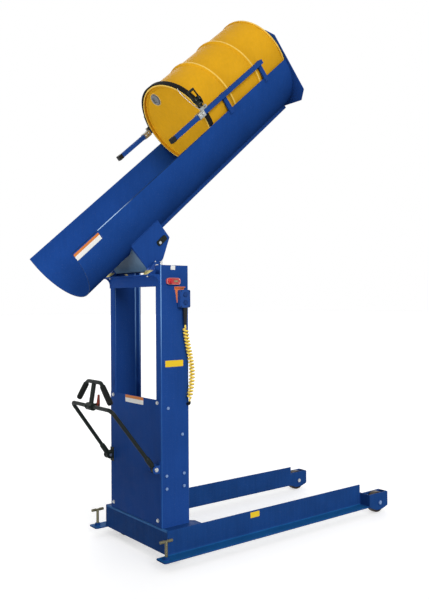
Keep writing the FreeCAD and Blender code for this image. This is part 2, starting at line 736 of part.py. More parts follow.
def cylinder_bracket():
    """Upper cross member with the clevis and pin that hold the cylinder's foot."""
    bracket = cross_member(BRACKET_Z, BRACKET_PLATE_X, BRACKET_PLATE_Z, BRACKET_BOLTS)
    gap = FOOT_LUG / 2 + SIDE_CLEARANCE
    top = BRACKET_Z + CROSS_TUBE / 2
    for side in (-1, 1):
        y = sorted((CYLINDER_Y + side * gap, CYLINDER_Y + side * (gap + CLEVIS_PLATE)))
        foot = box((CROSS_X - CROSS_TUBE / 2, FOOT.x + FOOT_LUG_R), y, (top, FOOT.z))
        nose = cylinder(V(FOOT.x, y[0], FOOT.z), Y_DIR, FOOT_LUG_R, CLEVIS_PLATE)
        bracket = bracket.fuse(foot).fuse(nose)
    pin_start = V(FOOT.x, CYLINDER_Y - gap - CLEVIS_PLATE, FOOT.z)
    pin = cylinder(pin_start, Y_DIR, ROD_PIN_R, 2 * (gap + CLEVIS_PLATE))
    return bracket.fuse(pin).removeSplitter()


def mast_tie():
    """Lower cross member."""
    return cross_member(TIE_Z, TIE_PLATE_X, TIE_PLATE_Z, TIE_BOLTS)


# Power unit

def battery():
    """Battery with a raised lid and two posts."""
    x = (UNIT_FRONT, UNIT_FRONT + UNIT_DEPTH)
    top = PAN_TOP + BATTERY_HEIGHT
    case = fillet(box(x, BATTERY_Y, (PAN_TOP, top)), CHANNEL_OUTER_R, lambda e: along(e, Z_DIR))
    middle = sum(x) / 2
    for y in (BATTERY_Y[0] + UNIT_DEPTH / 2, BATTERY_Y[1] - UNIT_DEPTH / 2):
        case = case.fuse(cylinder(V(middle, y, top), Z_DIR, BATTERY_POST_R, BATTERY_POST_HEIGHT))
    return case


def hydraulic_tank():
    """Oil tank with rounded corners and a filler cap."""
    x = (UNIT_FRONT, UNIT_FRONT + UNIT_DEPTH)
    top = PAN_TOP + TANK_HEIGHT
    tank = fillet(box(x, TANK_Y, (PAN_TOP, top)), CHANNEL_ROOT_R, lambda e: along(e, Z_DIR))
    return tank.fuse(cylinder(V(sum(x) / 2, sum(TANK_Y) / 2, top), Z_DIR, TANK_CAP_R, TANK_CAP_HEIGHT))


def pump_block():
    """Pump and valve block between the tank and the motor."""
    y = (TANK_Y[0] - PUMP_LENGTH, TANK_Y[0])
    block = box((UNIT_FRONT, UNIT_FRONT + UNIT_DEPTH), y, (PAN_TOP, PAN_TOP + PUMP_HEIGHT))
    return fillet(block, CHANNEL_TOE_R, lambda e: along(e, Y_DIR) and e.Vertexes[0].Z > PAN_TOP)


def pump_motor():
    """Motor on the pump block's face, standing on a foot."""
    end = TANK_Y[0] - PUMP_LENGTH
    centre = V(UNIT_FRONT + UNIT_DEPTH / 2, end, MOTOR_Z)
    motor = cylinder(centre, -Y_DIR, MOTOR_R, MOTOR_LENGTH)
    motor = fillet(motor, CHANNEL_ROOT_R, lambda e: near(e.CenterOfMass.y, end - MOTOR_LENGTH))
    foot = box((centre.x - MOTOR_FOOT, centre.x + MOTOR_FOOT), (end - MOTOR_LENGTH / 2, end),
               (PAN_TOP, MOTOR_Z))
    return motor.fuse(foot).removeSplitter()


def hose_points():
    """Corners of the hose from the pump block up behind the near flange and into the cylinder's port."""
    x = UNIT_FRONT + UNIT_DEPTH / 2
    y = TANK_Y[0] - PUMP_LENGTH / 2
    bottom = PAN_TOP + PUMP_HEIGHT
    return [V(x, y, bottom), V(x, y, bottom + HOSE_RISE), V(HOSE_X, HOSE_Y, bottom + HOSE_CLIMB),
            V(HOSE_X, HOSE_Y, BRACKET_Z + CROSS_TUBE), V(PORT.x, HOSE_Y, PORT.z - HOSE_DROP),
            V(PORT.x, HOSE_Y, PORT.z), PORT - Y_DIR * SEAT_FIT]


def pressure_hose():
    """Hose with round bends from the pump block to the port at the cylinder's foot."""
    return sweep(bend_path(hose_points(), HOSE_BEND_R), HOSE_R)


def cylinder_barrel():
    """Cylinder barrel with closed foot, gland end, foot lug and port."""
    start = FOOT + Z_DIR * BARREL_START
    barrel = cylinder(start, Z_DIR, BARREL_R, BARREL_LENGTH)
    bore_length = BARREL_LENGTH - BARREL_CAP - BARREL_GLAND
    barrel = barrel.cut(cylinder(start + Z_DIR * BARREL_CAP, Z_DIR, BARREL_BORE_R, bore_length))
    barrel = barrel.cut(cylinder(start, Z_DIR, ROD_R + RUNNING_FIT, BARREL_LENGTH))
    barrel = barrel.fuse(cylinder(start, Z_DIR, BARREL_BORE_R, BARREL_CAP))
    half = FOOT_LUG / 2
    lug = cylinder(FOOT - Y_DIR * half, Y_DIR, FOOT_LUG_R, FOOT_LUG)
    neck = box((FOOT.x - FOOT_LUG_R, FOOT.x + FOOT_LUG_R), (CYLINDER_Y - half, CYLINDER_Y + half),
               (FOOT.z, start.z + BARREL_CAP / 2))
    port = cylinder(PORT, Y_DIR, PORT_R, PORT_REACH + BARREL_R - BARREL_BORE_R)
    barrel = barrel.fuse(lug).fuse(neck).fuse(port)
    bore = cylinder(FOOT - Y_DIR * half, Y_DIR, ROD_PIN_R + RUNNING_FIT, FOOT_LUG)
    return barrel.cut(bore).removeSplitter()


def cylinder_rod():
    """Piston rod with its piston and the eye, the eye holding the inner half of the rod pin."""
    bottom = ROD_PIN - Z_DIR * ROD_LENGTH
    rod = cylinder(bottom, Z_DIR, ROD_R, ROD_LENGTH)
    piston = cylinder(bottom, Z_DIR, BARREL_BORE_R - RUNNING_FIT, PISTON)
    half = ROD_EYE_WIDTH / 2
    eye = cylinder(ROD_PIN - Y_DIR * half, Y_DIR, ROD_EYE_R, ROD_EYE_WIDTH)
    pin_start = V(ROD_PIN.x, -EAR_INNER + SIDE_CLEARANCE / 2, ROD_PIN.z)
    pin = cylinder(pin_start, Y_DIR, ROD_PIN_R, CYLINDER_Y + half + SIDE_CLEARANCE - pin_start.y)
    return rod.fuse(piston).fuse(eye).fuse(pin).removeSplitter()


# Wheels and jacks

def caster_plate():
    """Near caster's top plate with the kingpin bore."""
    half = CASTER_PLATE / 2
    top = PAN_TOP - PLATE
    plate = box((CASTER_X - half, CASTER_X + half), (-CASTER_Y - half, -CASTER_Y + half),
                (top - CASTER_PLATE_THICK, top))
    plate = fillet(plate, CHANNEL_ROOT_R, lambda e: along(e, Z_DIR))
    bore = cylinder(V(CASTER_X, -CASTER_Y, top - CASTER_PLATE_THICK), Z_DIR, KINGPIN_R + RUNNING_FIT,
                    CASTER_PLATE_THICK)
    return plate.cut(bore)


def caster_fork(side):
    """Swivel fork: disc with kingpin, two raked cheeks and the axle between them."""
    centre = V(CASTER_X, side * CASTER_Y, 0)
    disc_top = PAN_TOP - PLATE - CASTER_PLATE_THICK - SIDE_CLEARANCE / 2
    disc_z = disc_top - CASTER_DISC_THICK
    fork = cylinder(centre + Z_DIR * disc_z, Z_DIR, CASTER_DISC_R, CASTER_DISC_THICK)
    fork = fork.fuse(cylinder(centre + Z_DIR * disc_top, Z_DIR, KINGPIN_R, PAN_TOP - PLATE - disc_top))
    axle = centre + V(CASTER_TRAIL, 0, CASTER_R)
    inner = CASTER_WIDTH / 2 + SIDE_CLEARANCE
    lower = 2 * CASTER_AXLE_R
    outline = [(centre.x - lower, disc_z), (axle.x - lower, axle.z),
               (axle.x - CASTER_AXLE_R, axle.z - lower), (axle.x + CASTER_AXLE_R, axle.z - lower),
               (axle.x + lower, axle.z), (centre.x + 2 * lower, disc_z)]
    for y in (inner, -inner - CASTER_CHEEK):
        fork = fork.fuse(prism_y(outline, (centre.y + y, centre.y + y + CASTER_CHEEK)))
    reach = inner + CASTER_CHEEK
    pin = cylinder(axle - Y_DIR * reach, Y_DIR, CASTER_AXLE_R, 2 * reach)
    return fork.fuse(pin).removeSplitter()


def caster_wheel(side):
    """Caster wheel with a rounded tread."""
    half = CASTER_WIDTH / 2
    bore = CASTER_AXLE_R + RUNNING_FIT
    right = [(half, bore), (half, CASTER_R - 2 * WHEEL_CROWN), (half - 2 * WHEEL_CROWN, CASTER_R)]
    left = [(-a, r) for a, r in reversed(right)]
    return revolve(right + left, V(CASTER_X + CASTER_TRAIL, side * CASTER_Y, CASTER_R), Y_DIR)


def jack_screw(side):
    """Jack screw with its cross bar above the tab and its foot pad drawn up under it."""
    pad_top = LEG_BOTTOM - JACK_TAB_GAP
    pad_bottom = pad_top - JACK_PAD_THICK
    profile = [(pad_bottom, 0), (pad_bottom, JACK_PAD_R), (pad_bottom + JACK_PAD_THICK / 2, JACK_PAD_R),
               (pad_top, JACK_R + JACK_PAD_THICK / 2), (pad_top, JACK_R), (JACK_BAR_Z, JACK_R),
               (JACK_BAR_Z, 0)]
    screw = revolve(profile, V(JACK_X, side * JACK_Y, 0), Z_DIR)
    bar_end = V(JACK_X - JACK_BAR_LENGTH / 2, side * JACK_Y, JACK_BAR_Z)
    bar = cylinder(bar_end, X_DIR, JACK_BAR_R, JACK_BAR_LENGTH)
    bar = fillet(bar, JACK_BAR_R / 2, lambda e: isinstance(e.Curve, Part.Circle))
    return screw.fuse(bar).removeSplitter()


# Handle

def handle_clevis():
    """Near clevis on the panel: base plate and two cheeks with round noses."""
    inner = HANDLE_EYE_WIDTH / 2 + CLEVIS_CLEARANCE
    half = CLEVIS_HEIGHT / 2
    y = (-HANDLE_PIVOT_Y - inner - CLEVIS_CHEEK, -HANDLE_PIVOT_Y + inner + CLEVIS_CHEEK)
    base = PANEL_FRONT - CLEVIS_CHEEK
    clevis = box((base, PANEL_FRONT), y, (HANDLE_PIVOT_Z - half, HANDLE_PIVOT_Z + half))
    for start in (y[0], y[1] - CLEVIS_CHEEK):
        cheek = box((HANDLE_PIVOT_X, base), (start, start + CLEVIS_CHEEK),
                    (HANDLE_PIVOT_Z - CLEVIS_NOSE_R, HANDLE_PIVOT_Z + CLEVIS_NOSE_R))
        nose = cylinder(V(HANDLE_PIVOT_X, start, HANDLE_PIVOT_Z), Y_DIR, CLEVIS_NOSE_R, CLEVIS_CHEEK)
        clevis = clevis.fuse(cheek).fuse(nose)
    hole = cylinder(V(HANDLE_PIVOT_X, y[0], HANDLE_PIVOT_Z), Y_DIR, HANDLE_BOLT_R + SEAT_FIT, y[1] - y[0])
    return clevis.cut(hole).removeSplitter()


def handle_pivot_bolt():
    """Near pivot bolt through the clevis."""
    reach = HANDLE_EYE_WIDTH / 2 + CLEVIS_CLEARANCE + CLEVIS_CHEEK
    start = V(HANDLE_PIVOT_X, -HANDLE_PIVOT_Y - reach, HANDLE_PIVOT_Z)
    return bolt(start, Y_DIR, 2 * reach, HANDLE_BOLT_R)


def handle_yoke():
    """Bent tube of the handle: a cross bar and two arms that end in tapered sockets with eyes."""
    near_eye = V(HANDLE_PIVOT_X, -HANDLE_PIVOT_Y, HANDLE_PIVOT_Z)
    far_eye = V(HANDLE_PIVOT_X, HANDLE_PIVOT_Y, HANDLE_PIVOT_Z)
    near_corner = V(HANDLE_BAR_X, -HANDLE_BAR_HALF, HANDLE_BAR_Z)
    far_corner = V(HANDLE_BAR_X, HANDLE_BAR_HALF, HANDLE_BAR_Z)
    yoke = sweep(bend_path([near_eye, near_corner, far_corner, far_eye], HANDLE_BEND_R), HANDLE_TUBE_R)
    for eye, corner in ((near_eye, near_corner), (far_eye, far_corner)):
        up = (corner - eye).normalize()
        start = eye + up * SOCKET_START
        end = start + up * SOCKET_LENGTH
        socket = cylinder(start, up, SOCKET_R, SOCKET_LENGTH)
        taper = Part.makeCone(SOCKET_R, HANDLE_TUBE_R + SIDE_CLEARANCE, SOCKET_TAPER, end, up)
        lug = cylinder(eye - Y_DIR * (HANDLE_EYE_WIDTH / 2), Y_DIR, HANDLE_EYE_R, HANDLE_EYE_WIDTH)
        yoke = yoke.fuse(socket).fuse(taper).fuse(lug)
    for eye in (near_eye, far_eye):
        start = eye - Y_DIR * HANDLE_EYE_WIDTH
        yoke = yoke.cut(cylinder(start, Y_DIR, HANDLE_BOLT_R + RUNNING_FIT, 2 * HANDLE_EYE_WIDTH))
    return yoke


def handle_loop():
    """Clamp hub on the cross bar, its post and the drooping handlebar."""
    bar = V(HANDLE_BAR_X, 0, HANDLE_BAR_Z)
    top = V(HANDLE_TOP_X, 0, HANDLE_TOP_Z)
    hub_end = bar - Y_DIR * (HUB_LENGTH / 2)
    hub = tube(hub_end, Y_DIR, HANDLE_TUBE_R + HUB_WALL, HANDLE_TUBE_R + SEAT_FIT, HUB_LENGTH)
    lean = (top - bar).normalize()
    post_start = bar + lean * (HANDLE_TUBE_R + HUB_WALL / 2)
    post = cylinder(post_start, lean, LOOP_POST_R, (top - post_start).Length)
    points = [V(top.x, -GRIP_END_HALF, GRIP_END_Z), V(top.x, -HANDLE_TOP_HALF, top.z),
              V(top.x, HANDLE_TOP_HALF, top.z), V(top.x, GRIP_END_HALF, GRIP_END_Z)]
    loop = sweep(bend_path(points, LOOP_BEND_R), LOOP_TUBE_R)
    lug_y = LEVER_Y + LEVER_WIDTH / 2 + SIDE_CLEARANCE
    axis = lever_axis()
    lug = cylinder(axis + Y_DIR * (lug_y - LEVER_Y), Y_DIR, LEVER_LUG_R, -HUB_LENGTH / 4 - lug_y)
    pin_length = LEVER_WIDTH - LEVER_Y - HUB_LENGTH / 4
    pin = cylinder(axis - Y_DIR * LEVER_WIDTH, Y_DIR, LEVER_PIN_R, pin_length)
    return hub.fuse(post).fuse(loop).fuse(lug).fuse(pin).removeSplitter()


def lever_axis():
    """Where the release lever turns, on the hub's mast side."""
    return V(HANDLE_BAR_X + HANDLE_TUBE_R + HUB_WALL + LEVER_LUG_R / 2, LEVER_Y, HANDLE_BAR_Z + HUB_WALL)


def handle_grips():
    """Foam sleeves on the two drooping ends of the handlebar."""
    end = V(HANDLE_TOP_X, -GRIP_END_HALF, GRIP_END_Z)
    knee = V(HANDLE_TOP_X, -HANDLE_TOP_HALF, HANDLE_TOP_Z)
    down = (end - knee).normalize()
    start = knee + down * GRIP_SETBACK
    length = (end - start).Length
    sleeve = cylinder(start, down, GRIP_R, length + GRIP_R / 2)
    sleeve = fillet(sleeve, GRIP_R / 3, lambda e: isinstance(e.Curve, Part.Circle))
    return pair(sleeve.cut(cylinder(start, down, LOOP_TUBE_R + SEAT_FIT, length)))


def release_lever():
    """Thumb lever on the hub, with a tapered blade."""
    axis = lever_axis()
    half = LEVER_WIDTH / 2
    eye = cylinder(axis - Y_DIR * half, Y_DIR, LEVER_LUG_R, LEVER_WIDTH)
    blade = prism_y([(axis.x - LEVER_LUG_R, axis.z), (axis.x + LEVER_LUG_R, axis.z),
                     (axis.x + LEVER_THICK, axis.z + LEVER_LENGTH), (axis.x, axis.z + LEVER_LENGTH)],
                    (axis.y - half, axis.y + half))
    bore = cylinder(axis - Y_DIR * half, Y_DIR, LEVER_PIN_R + RUNNING_FIT, LEVER_WIDTH)
    return eye.fuse(blade).cut(bore).removeSplitter()


# Switches and pendant on the near mast web

def isolator_plate():
    """Isolator switch housing with rounded corners and the bore of its spindle."""
    face = WEB_FACE - ISOLATOR_DEPTH
    plate = box(ISOLATOR_X, (face, WEB_FACE), ISOLATOR_Z)
    plate = fillet(plate, ISOLATOR_CORNER, lambda e: along(e, Y_DIR))
    return plate.cut(cylinder(knob_centre(), Y_DIR, KNOB_SPINDLE_R + RUNNING_FIT, ISOLATOR_DEPTH))


def knob_centre():
    """Middle of the isolator knob on the housing's face."""
    reach = (ISOLATOR_Z[1] - ISOLATOR_Z[0]) / 2
    return V(ISOLATOR_X[0] + reach, WEB_FACE - ISOLATOR_DEPTH, ISOLATOR_Z[0] + reach)


def isolator_knob():
    """Isolator knob: a disc with a raised grip bar and the spindle."""
    centre = knob_centre() - Y_DIR * (SIDE_CLEARANCE / 2)
    knob = cylinder(centre, -Y_DIR, KNOB_R, KNOB_DEPTH / 2)
    grip = box((centre.x - KNOB_GRIP / 2, centre.x + KNOB_GRIP / 2), (centre.y - KNOB_DEPTH, centre.y),
               (centre.z - KNOB_R + WHEEL_CROWN, centre.z + KNOB_R - WHEEL_CROWN))
    grip = fillet(grip, KNOB_GRIP / 3, lambda e: along(e, Y_DIR))
    spindle = cylinder(centre, Y_DIR, KNOB_SPINDLE_R, ISOLATOR_DEPTH / 2)
    return knob.fuse(grip).fuse(spindle).removeSplitter()


def pendant_hook():
    """Hook plate on the web: a bar with a tapered strip below it and a peg for the pendant's lug."""
    face = WEB_FACE - HOOK_THICK
    low = HOOK_TOP - HOOK_BAR
    strip = HOOK_STRIP_X
    middle = sum(strip) / 2
    outline = [(HOOK_X[0], HOOK_TOP), (HOOK_X[0], low), (strip[0], low),
               (middle - HOOK_STRIP_TIP / 2, HOOK_STRIP_BOTTOM),
               (middle + HOOK_STRIP_TIP / 2, HOOK_STRIP_BOTTOM), (strip[1], low),
               (HOOK_X[1], low), (HOOK_X[1], HOOK_TOP)]
    plate = prism_y(outline, (face, WEB_FACE))
    shelf = box(HOOK_X, (face - PENDANT_DEPTH / 2, face), (HOOK_TOP - HOOK_THICK, HOOK_TOP))
    return plate.fuse(shelf).removeSplitter()


def pendant_back():
    """Rear face of the pendant, against the hook plate."""
    return WEB_FACE - HOOK_THICK


def pendant_body():
    """Pendant housing with rounded edges and two button wells."""
    back = pendant_back()
    body = box(PENDANT_X, (back - PENDANT_DEPTH, back), PENDANT_Z)
    body = fillet(body, PENDANT_CORNER, lambda e: along(e, Y_DIR))
    for spot in button_places():
        well = cylinder(spot, Y_DIR, BUTTON_R + SIDE_CLEARANCE / 2, BUTTON_SINK + BUTTON_TRAVEL)
        stem = cylinder(spot, Y_DIR, BUTTON_R / 2 + RUNNING_FIT, BUTTON_SINK + BUTTON_STEM + BUTTON_TRAVEL)
        body = body.cut(well).cut(stem)
    return body


def button_places():
    """Centres of the two buttons on the pendant's face, the upper one first."""
    x = sum(PENDANT_X) / 2
    z = sum(PENDANT_Z) / 2
    face = pendant_back() - PENDANT_DEPTH
    return [V(x, face, z + BUTTON_PITCH / 2), V(x, face, z - BUTTON_PITCH / 2)]


def button(spot):
    """Push button with a domed edge and a guide stem."""
    cap = cylinder(spot - Y_DIR * BUTTON_HEIGHT, Y_DIR, BUTTON_R, BUTTON_HEIGHT + BUTTON_SINK)
    cap = fillet(cap, BUTTON_HEIGHT / 3, lambda e: near(e.CenterOfMass.y, spot.y - BUTTON_HEIGHT))
    stem = cylinder(spot + Y_DIR * BUTTON_SINK, Y_DIR, BUTTON_R / 2, BUTTON_STEM)
    return cap.fuse(stem).removeSplitter()


def cord_glands():
    """Tapered gland under the pendant and the elbow on the web that takes the cord's lower end."""
    y = pendant_back() - PENDANT_DEPTH / 2
    top = V(CORD_X_TOP, y, PENDANT_Z[0])
    gland = Part.makeCone(GLAND_R, GLAND_TIP_R, PENDANT_Z[0] - CORD_TOP_Z, top, -Z_DIR)
    foot = V(CORD_X_FOOT, WEB_FACE - CORD_STANDOFF, CORD_FOOT_Z)
    elbow = sweep(bend_path([foot, foot - Z_DIR * ELBOW_DROP, V(foot.x, WEB_FACE, foot.z - ELBOW_DROP)],
                            ELBOW_R + CORD_R / 2), ELBOW_R)
    return Part.makeCompound([gland, elbow])


def cord_axis(t):
    """Point on the middle line of the curls, t running from 0 at the pendant to 1 at the elbow."""
    top = V(CORD_X_TOP, pendant_back() - PENDANT_DEPTH / 2, CORD_TOP_Z - 2 * CORD_R)
    foot = V(CORD_X_FOOT, WEB_FACE - CORD_STANDOFF, CORD_FOOT_Z + 2 * CORD_R)
    bow = CORD_BOW * math.sin(math.pi * t) ** 2
    drift = t * t * (3 - 2 * t)
    span = foot - top
    return top + V(span.x * drift + bow, span.y * drift, span.z * t)


def curl_point(t):
    """Point on the cord: the curls grow from the middle line over the first and last turn."""
    swell = min(1.0, t * CURLS, (1 - t) * CURLS)
    swell = swell * swell * (3 - 2 * swell)
    turn = 2 * math.pi * CURLS * t
    return cord_axis(t) + V(math.cos(turn), math.sin(turn), 0) * (CURL_R * swell)


def curl_heading(t):
    """Direction of the cord at a point of its curls."""
    before = curl_point(max(0, t - CURL_NUDGE))
    after = curl_point(min(1, t + CURL_NUDGE))
    return (after - before).normalize()


def arc_from(start, heading, end):
    """Circular arc that leaves start along heading and ends at end."""
    chord = end - start
    flat = heading.dot(chord) / chord.Length
    side = heading - chord * (flat / chord.Length)
    if side.Length < 1e-6:
        return Part.LineSegment(start, end).toShape()
    angle = math.atan2(side.Length, flat)
    middle = (start + end) * 0.5 + side.normalize() * (chord.Length / 2 * math.tan(angle / 2))
    return Part.Arc(start, middle, end).toShape()


def biarc(start, heading, end, arrival):
    """Two tangent arcs from start along heading to end along arrival."""
    gap = end - start
    bend = 2 * (1 - heading.dot(arrival))
    pull = 2 * gap.dot(heading + arrival)
    reach = gap.dot(gap) / pull
    if bend > 1e-9:
        reach = (math.sqrt(pull * pull + 4 * bend * gap.dot(gap)) - pull) / (2 * bend)
    joint = (start + end + (heading - arrival) * reach) * 0.5
    back = arc_from(end, arrival * -1, joint)
    return [arc_from(start, heading, joint), back]


def curly_cord():
    """Pendant cord as one tube on biarcs of a quarter turn, straight for a diameter at both ends."""
    steps = CURL_STEPS * CURLS
    points = [curl_point(k / steps) for k in range(steps + 1)]
    headings = [curl_heading(k / steps) for k in range(steps + 1)]
    headings[0] = -Z_DIR
    headings[-1] = -Z_DIR
    top = V(points[0].x, points[0].y, CORD_TOP_Z)
    foot = V(points[-1].x, points[-1].y, CORD_FOOT_Z)
    edges = [Part.LineSegment(top, points[0]).toShape()]
    for k in range(steps):
        edges += biarc(points[k], headings[k], points[k + 1], headings[k + 1])
    edges.append(Part.LineSegment(points[-1], foot).toShape())
    path = Part.Wire(Part.sortEdges(edges)[0])
    ring = Part.Wire(Part.Circle(top, -Z_DIR, CORD_R).toShape())
    cord = Part.Solid(path.makePipeShell([ring], True, False))
    report_cord(path, cord)
    return cord


def report_cord(path, cord):
    """Print the cord's length, its volume against section times length, and its least gap to itself."""
    samples = path.discretize(Number=CORD_SAMPLES * CURLS)
    step = path.Length / len(samples)
    apart = int(math.pi * CURL_R / step) + 1
    least = min(samples[i].distanceToPoint(samples[j]) for i in range(len(samples))
                for j in range(i + apart, min(len(samples), i + CURL_STEPS * apart)))
    ratio = cord.Volume / (math.pi * CORD_R ** 2 * path.Length)
    gap = least - 2 * CORD_R
    print("cord length", round(path.Length, 1), "volume ratio", round(ratio, 4), "least gap", round(gap, 2))


# Chute, drawn in its own s, y, h directions

def trough():
    """Half-round trough with straight rims."""
    inner = TROUGH_R - TROUGH_WALL

    def section(radius):
        return [V(MOUTH_S, -radius, TROUGH_CENTRE_H), V(MOUTH_S, 0, TROUGH_CENTRE_H - radius),
                V(MOUTH_S, radius, TROUGH_CENTRE_H)]

    rise = V(0, 0, RIM_H - TROUGH_CENTRE_H)
    a, b, c = section(TROUGH_R)
    d, e, f = section(inner)
    edges = [Part.Arc(a, b, c).toShape(), Part.LineSegment(c, c + rise).toShape(),
             Part.LineSegment(c + rise, f + rise).toShape(), Part.LineSegment(f + rise, f).toShape(),
             Part.Arc(f, e, d).toShape(), Part.LineSegment(d, d + rise).toShape(),
             Part.LineSegment(d + rise, a + rise).toShape(), Part.LineSegment(a + rise, a).toShape()]
    return Part.Face(Part.Wire(edges)).extrude(V(END_PLATE_S - MOUTH_S, 0, 0))


def trough_envelope():
    """Outside of the trough with a weld gap, which cuts what is welded under it to shape."""
    length = END_PLATE_S - MOUTH_S
    return cylinder(V(MOUTH_S, 0, TROUGH_CENTRE_H), X_DIR, TROUGH_R + WELD_GAP, length)


def end_plate():
    """Plate across the trough's closed end, with cut corners, on which the drum stands."""
    low = DRUM_AXIS_H - END_DROP
    high = DRUM_AXIS_H + END_RISE
    top = END_TOP_CHAMFER
    bottom = END_BOTTOM_CHAMFER
    wide = END_HALF_WIDTH
    outline = [(-wide + bottom, low), (wide - bottom, low), (wide, low + bottom), (wide, high - top),
               (wide - top, high), (-wide + top, high), (-wide, high - top), (-wide, low + bottom)]
    return prism_x(outline, (END_PLATE_S, END_PLATE_S + END_PLATE))


def keel_channel():
    """Stiffening channel along the trough's underside, coped to its curve."""
    half = KEEL_WIDTH / 2
    low = DRUM_AXIS_H - KEEL_DROP
    s = (KEEL_START_S, END_PLATE_S)
    keel = box(s, (-half, half), (low, TROUGH_CENTRE_H))
    keel = fillet(keel, CHANNEL_ROOT_R, lambda e: along(e, X_DIR) and near(e.Vertexes[0].Z, low))
    inside = box(s, (-half + KEEL_WALL, half - KEEL_WALL), (low + KEEL_WALL, TROUGH_CENTRE_H))
    return keel.cut(inside).cut(trough_envelope())


def ear():
    """Near ear: a plate square to the trough with a straight front, a round end and a bent lower edge."""
    heel = V(-EAR_FRONT, 0, -EAR_HEEL)
    chest = V(math.sqrt(EAR_END_R ** 2 - EAR_CHEST ** 2), 0, -EAR_CHEST)
    toe = (heel + chest).normalize() * EAR_END_R
    corners = [chest, V(EAR_KNEE_S, 0, -EAR_CHEST), V(EAR_REAR_S, 0, EAR_CORNER_H),
               V(EAR_REAR_S, 0, TROUGH_CENTRE_H), V(-EAR_FRONT, 0, TROUGH_CENTRE_H), heel]
    edges = [Part.LineSegment(a, b).toShape() for a, b in zip(corners, corners[1:])]
    edges.append(Part.Arc(heel, toe, chest).toShape())
    plate = Part.Face(Part.Wire(edges)).extrude(V(0, EAR_THICK, 0))
    plate.translate(V(0, -EAR_OUTER, 0))
    bore = cylinder(V(0, -EAR_OUTER, 0), Y_DIR, SHAFT_R + SEAT_FIT, EAR_THICK)
    return plate.cut(trough_envelope()).cut(bore)


def torque_tube():
    """Tube round the shaft that ties the ears together."""
    half = EAR_INNER - WELD_GAP
    return tube(V(0, -half, 0), Y_DIR, TORQUE_TUBE_R, TORQUE_TUBE_R - TORQUE_TUBE_WALL, 2 * half)


def ear_brace():
    """Cross plate between the ears' front edges, coped to the trough and to the torque tube."""
    half = EAR_INNER - WELD_GAP
    plate = box((-EAR_FRONT, -EAR_FRONT + EAR_BRACE), (-half, half), (0, TROUGH_CENTRE_H))
    round_tube = cylinder(V(0, -half, 0), Y_DIR, TORQUE_TUBE_R + WELD_GAP, 2 * half)
    return plate.cut(trough_envelope()).cut(round_tube)


def ears():
    """Both ears, the near one with the hole of the rod pin, and the tube and brace that join them."""
    hole = cylinder(V(ROD_PIN_S, -EAR_OUTER, ROD_PIN_H), Y_DIR, ROD_PIN_R + SEAT_FIT, EAR_THICK)
    plate = ear()
    return Part.makeCompound([plate.cut(hole), mirrored(plate), ear_brace(), torque_tube()])


def pivot_shaft():
    """Shaft through both ears and both bearing blocks."""
    reach = BLOCK_Y + BLOCK_WIDTH / 2
    return cylinder(V(0, -reach, 0), Y_DIR, SHAFT_R, 2 * reach)


def rod_pin():
    """Outer half of the rod pin in the near ear, with its keeper bar and keeper bolt."""
    pin = cylinder(V(ROD_PIN_S, -EAR_OUTER, ROD_PIN_H), Y_DIR, ROD_PIN_R, EAR_THICK)
    half = KEEPER_WIDTH / 2
    s = (ROD_PIN_S + half - KEEPER_LENGTH, ROD_PIN_S + half)
    bar = box(s, (-EAR_OUTER - KEEPER_THICK, -EAR_OUTER), (ROD_PIN_H - half, ROD_PIN_H + half))
    bar = fillet(bar, KEEPER_WIDTH / 3, lambda e: along(e, Y_DIR))
    seat = V(s[0] + half, -EAR_OUTER - KEEPER_THICK, ROD_PIN_H)
    head = hexagon(seat - Y_DIR * BOLT_HEAD, Y_DIR, BOLT_FLATS, BOLT_HEAD)
    return pin.fuse(bar).fuse(head).removeSplitter()


def side_rail():
    """Near side rail: square tube on two posts that stand on the trough's wall."""
    half = RAIL / 2
    bore = half - RAIL_WALL
    y = (-RAIL_INNER - RAIL, -RAIL_INNER)
    rail = box(RAIL_S, y, (RAIL_H - half, RAIL_H + half))
    hollow = box(RAIL_S, (y[0] + RAIL_WALL, y[1] - RAIL_WALL), (RAIL_H - bore, RAIL_H + bore))
    rail = rail.cut(hollow)
    for s in POST_S:
        post = box((s - POST_WIDTH / 2, s + POST_WIDTH / 2), (-RAIL_INNER, -TROUGH_R),
                   (POST_FOOT_H, RAIL_H + half))
        rail = rail.fuse(post)
    return rail.removeSplitter()


def rail_cap():
    """Near plastic cap over the rail's open end."""
    half = RAIL / 2 + SEAT_FIT
    outer = half + CAP_WALL
    s = (RAIL_S[0] - CAP_WALL, RAIL_S[0] - CAP_WALL + CAP_LENGTH)
    cap = box(s, (-RAIL_MID - outer, -RAIL_MID + outer), (RAIL_H - outer, RAIL_H + outer))
    cap = fillet(cap, CAP_WALL, lambda e: along(e, X_DIR))
    hollow = box((RAIL_S[0], s[1]), (-RAIL_MID - half, -RAIL_MID + half), (RAIL_H - half, RAIL_H + half))
    return cap.cut(hollow)


def strap_clamp():
    """Near strap clamp: a sleeve round the rail with a lug beside the strap."""
    half = RAIL / 2 + SEAT_FIT
    outer = half + CLAMP_WALL
    sleeve = box(CLAMP_S, (-RAIL_MID - outer, -RAIL_MID + outer), (RAIL_H - outer, RAIL_H + outer))
    sleeve = fillet(sleeve, CLAMP_WALL, lambda e: along(e, X_DIR))
    lug = box((CLAMP_S[1] - CLAMP_WALL, STRAP_S[1]), (-RAIL_MID - CLAMP_WALL, -RAIL_MID + CLAMP_WALL),
              (RAIL_H + half, RAIL_H + half + CLAMP_LUG))
    lug = fillet(lug, CLAMP_LUG / 3, lambda e: along(e, Y_DIR) and e.Vertexes[0].X > CLAMP_S[1])
    hollow = box(CLAMP_S, (-RAIL_MID - half, -RAIL_MID + half), (RAIL_H - half, RAIL_H + half))
    return sleeve.fuse(lug).cut(hollow).removeSplitter()


